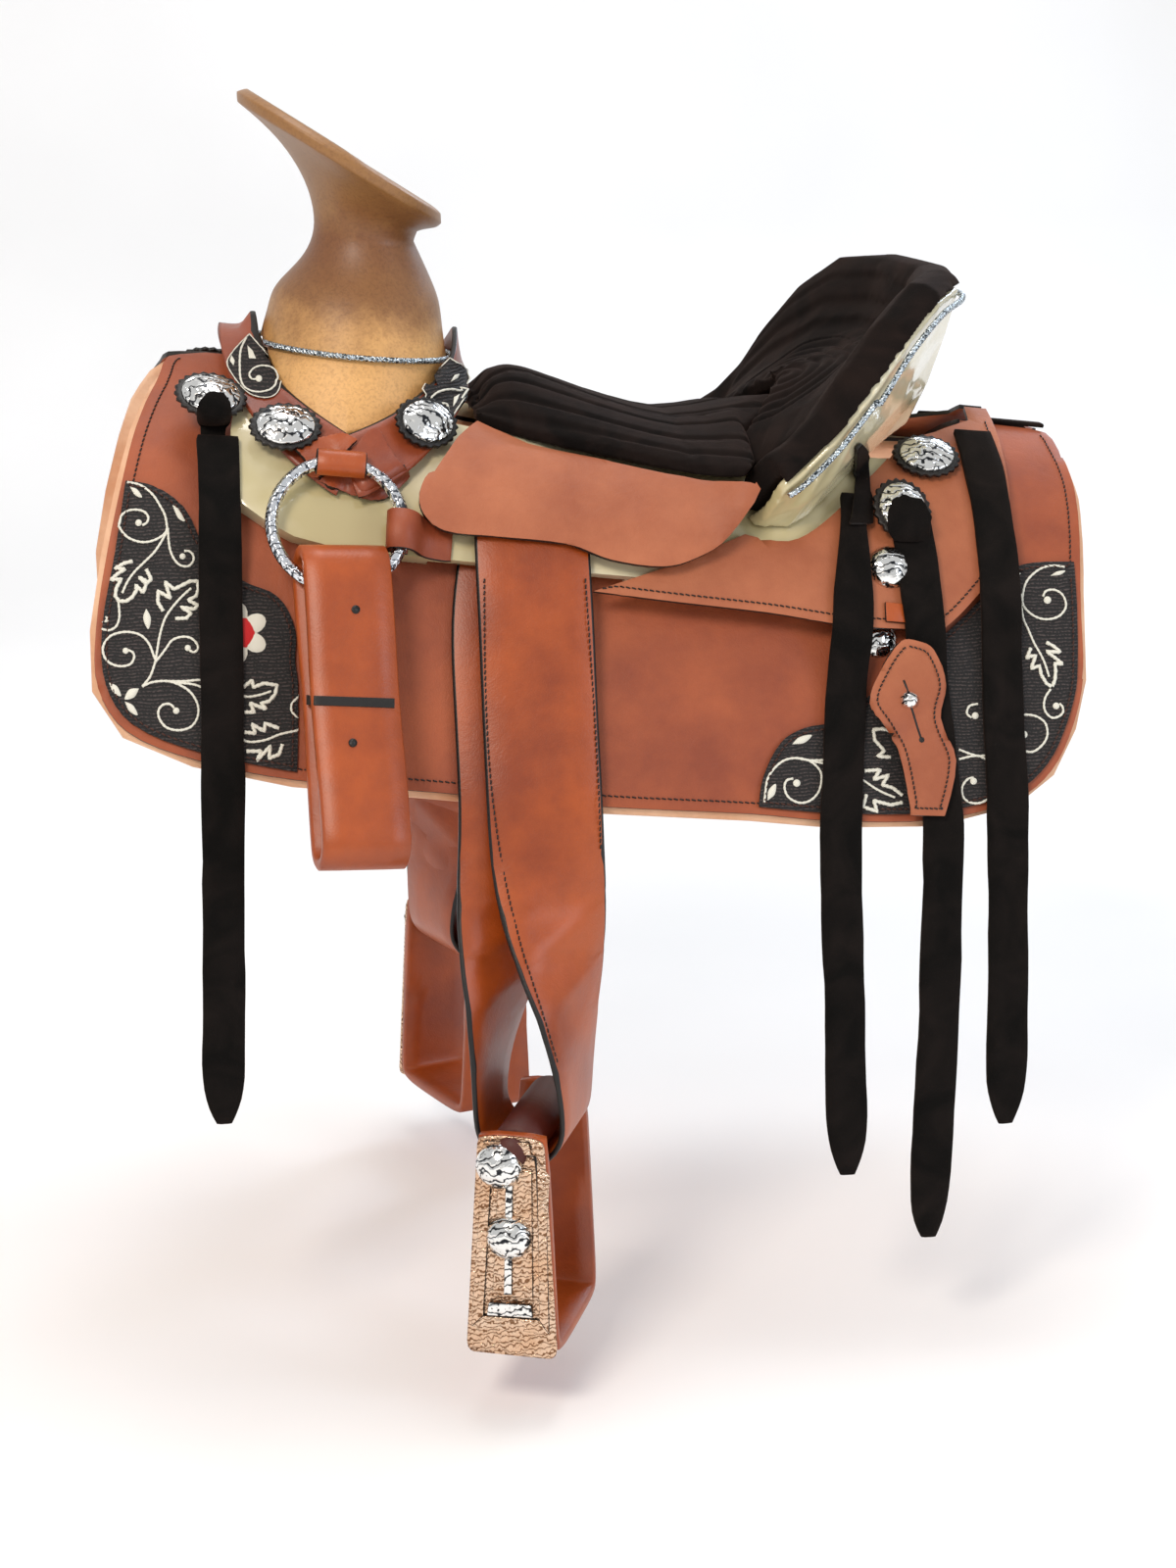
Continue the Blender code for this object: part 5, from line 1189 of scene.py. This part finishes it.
# the latigo's holes are not cut: a thin black disc on each is painted shade in the hole
for label, x, y in (("upper", 363, 622), ("lower", 360, 758)):
    applique("latigo_hole_" + label, "latigo_near", disc(x, y, 4.4, 14), burnishedAndShade, "orange_leather",
             lift=0.0003, thick=0.0004, cell=9, rounding=0)
leatherSeams = [[(494, 590), (495, 690), (500, 790), (512, 880), (530, 960), (552, 1030), (570, 1090)],
                [(597, 590), (604, 690), (610, 790), (613, 870)]]
for word in words:
    runs = [sided(trace("stirrup_leather_near", curveThrough(line, 3.0), 0.0002), word)
            for line in leatherSeams]
    stitches("leather_stitches_" + word, runs, bodyOf("stirrup_leather_" + word), "orange_leather", blackThread)
foldZone = "collar_front_strap+collar_rear_strap+tree_bar_near+horn_fork"
folds = {
    "band": {"finish": collarLeather, "lift": 0.0042, "stands": None, "shape":
        [(655, 895), (740, 815), (830, 725), (905, 640), (950, 640), (1000, 730), (1060, 810), (1105, 868),
         (1060, 925), (1000, 975), (930, 990), (850, 975), (760, 940)]},
    "fold": {"finish": orangeLeather, "lift": 0.0075, "stands": "collar_loop", "shape":
        [(535, 742), (600, 712), (700, 684), (780, 672), (850, 702), (800, 760), (720, 835), (655, 897), (622, 892),
         (604, 868), (596, 812), (566, 772)]}}
for label, form in folds.items():
    applique("collar_" + label, foldZone, ringThrough(picked(form["shape"], *collar), 3.0), form["finish"],
             "orange_leather", form["lift"], thick=0.0034, cell=4.0, rounding=0.0008, stands=form["stands"],
             body="saddle", even=8)
tieHeads = {
    "front": {"on": "concho_front_near+skirt_near+tree_bar_near+front_patch_near", "lift": 0.0085,
        "shape": [(201, 462), (201, 430), (205, 414), (214, 406), (226, 408), (233, 420), (235, 462)]},
    "middle": {"on": "concho_rear_middle_near+rear_jockey_near", "lift": 0.0080,
        "shape": [(906, 560), (903, 530), (908, 513), (920, 509), (938, 513), (948, 532), (946, 560)]},
    "cantle": {"on": "cantle_shell+rear_jockey_near+tree_bar_near+tie_cantle_near", "lift": 0.0040,
        "shape": [(869, 455), (876, 449), (884, 456), (889, 490), (892, 540), (864, 540), (870, 490)]}}
for label, form in tieHeads.items():
    applique("tie_head_" + label, form["on"], form["shape"], tieSuede, "black_suede", form["lift"],
             thick=0.0030, rounding=0.0008, body="saddle", even=5)
print("inlays")

# stirrup plate: raised border, sunk panel, rib, foot, domes
plateDomes = {
    "plate_dome": {"on": "stirrup_face_near", "at": (520, 1262), "radius": 0.0160, "height": 0.0120, "stand": 0.0008},
    "plate_bolt": {"on": "stirrup_face_near", "at": (520, 1175), "radius": 0.0165, "height": 0.0125, "stand": 0.0030}}
plate = {"outer": [(494, 1163), (557, 1166), (561, 1360), (482, 1352)],
         "inner": [(503, 1176), (549, 1178), (551, 1346), (494, 1341)],
         "panel": {"shape": [(509, 1192), (543, 1193), (544, 1326), (503, 1322)], "finish": plateSilver,
                   "lift": 0.0016, "thick": 0.0016, "rounding": 0.0006},
         "rib": {"shape": [(517, 1196), (524, 1196), (523, 1320), (515, 1320)], "finish": conchoSilver,
                 "lift": 0.0030, "thick": 0.0016, "rounding": 0.0006},
         "foot": {"shape": [(500, 1327), (543, 1330), (545, 1343), (498, 1340)], "finish": conchoSilver,
                  "lift": 0.0042, "thick": 0.0030, "rounding": 0.0009}}
for k in range(4):
    j = (k + 1) % 4
    strip = [plate["outer"][k], plate["outer"][j], plate["inner"][j], plate["inner"][k]]
    applique("plate_border_%d" % k, "stirrup_face_near", strip, plateSilver, "engraved_silver", lift=0.0026,
             thick=0.0026, cell=60, rounding=0.0007)
for label in ("panel", "rib", "foot"):
    form = plate[label]
    applique("plate_" + label, "stirrup_face_near", form["shape"], form["finish"], "engraved_silver", form["lift"],
             form["thick"], cell=60, rounding=form["rounding"])
for word in words:
    for name, form in plateDomes.items():
        turnedDome(name, form, word, "engraved_silver")
print("plates")

# light and floor
studio = {"floor": -0.665, "half": 6, "sweep": ((-6, 0), (1.6, 0), (2.4, 0.12), (3.0, 0.6), (3.2, 1.4), (3.2, 5)),
          "glow": 0.62, "aim": (0, 0, -0.15)}
half = studio["half"]
work = bmesh.new()
rows = [[work.verts.new((x, y, studio["floor"] + z)) for x in (-half, half)] for y, z in studio["sweep"]]
for a, b in zip(rows, rows[1:]):
    work.faces.new((a[0], a[1], b[1], b[0])).smooth = True
# matt white paper, its tone hardly uneven
paper, paperTree, paperShader, paperSpace = blank("studioPaper")
cloud = put(paperTree, "TexNoise", {"Vector": paperSpace, "Scale": 2.0})
feed(paperTree, paperShader, {"Base Color": ramp(paperTree, cloud.outputs["Fac"], [(0.3, "#F4F4F4"), (0.7, "#FAFAFA")]),
                              "Roughness": 0.9})
floor = bpy.data.objects.new("floor", meshFrom(work, "floor"))
bpy.context.scene.collection.objects.link(floor)
floor.data.materials.append(paper)

world = bpy.data.worlds.new("studio")
bpy.context.scene.world = world
world.use_nodes = True
feed(world.node_tree, world.node_tree.nodes["Background"], {"Color": (1, 1, 1, 1), "Strength": studio["glow"]})
for name, place, size, power, colour in (
        ("key", (-1.4, -2.6, 2.0), 1.0, 60, "#FFF2E4"), ("fill", (2.4, -2.0, 0.8), 1.2, 20, "#E4EFFF"),
        ("top", (0.1, 0.2, 2.8), 1.4, 30, "#FFFFFF"), ("rim", (1.8, 2.2, 1.4), 1.0, 20, "#DCEBFF")):
    lamp = bpy.data.lights.new(name, "AREA")
    lamp.shape = "DISK"
    lamp.size = size
    lamp.energy = power
    lamp.color = linear(colour)[:3]
    held = bpy.data.objects.new(name, lamp)
    bpy.context.scene.collection.objects.link(held)
    held.location = place
    held.rotation_euler = (Vector(studio["aim"]) - Vector(place)).to_track_quat("-Z", "Y").to_euler()
bpy.context.scene.view_settings.view_transform = "Standard"
print("studio")
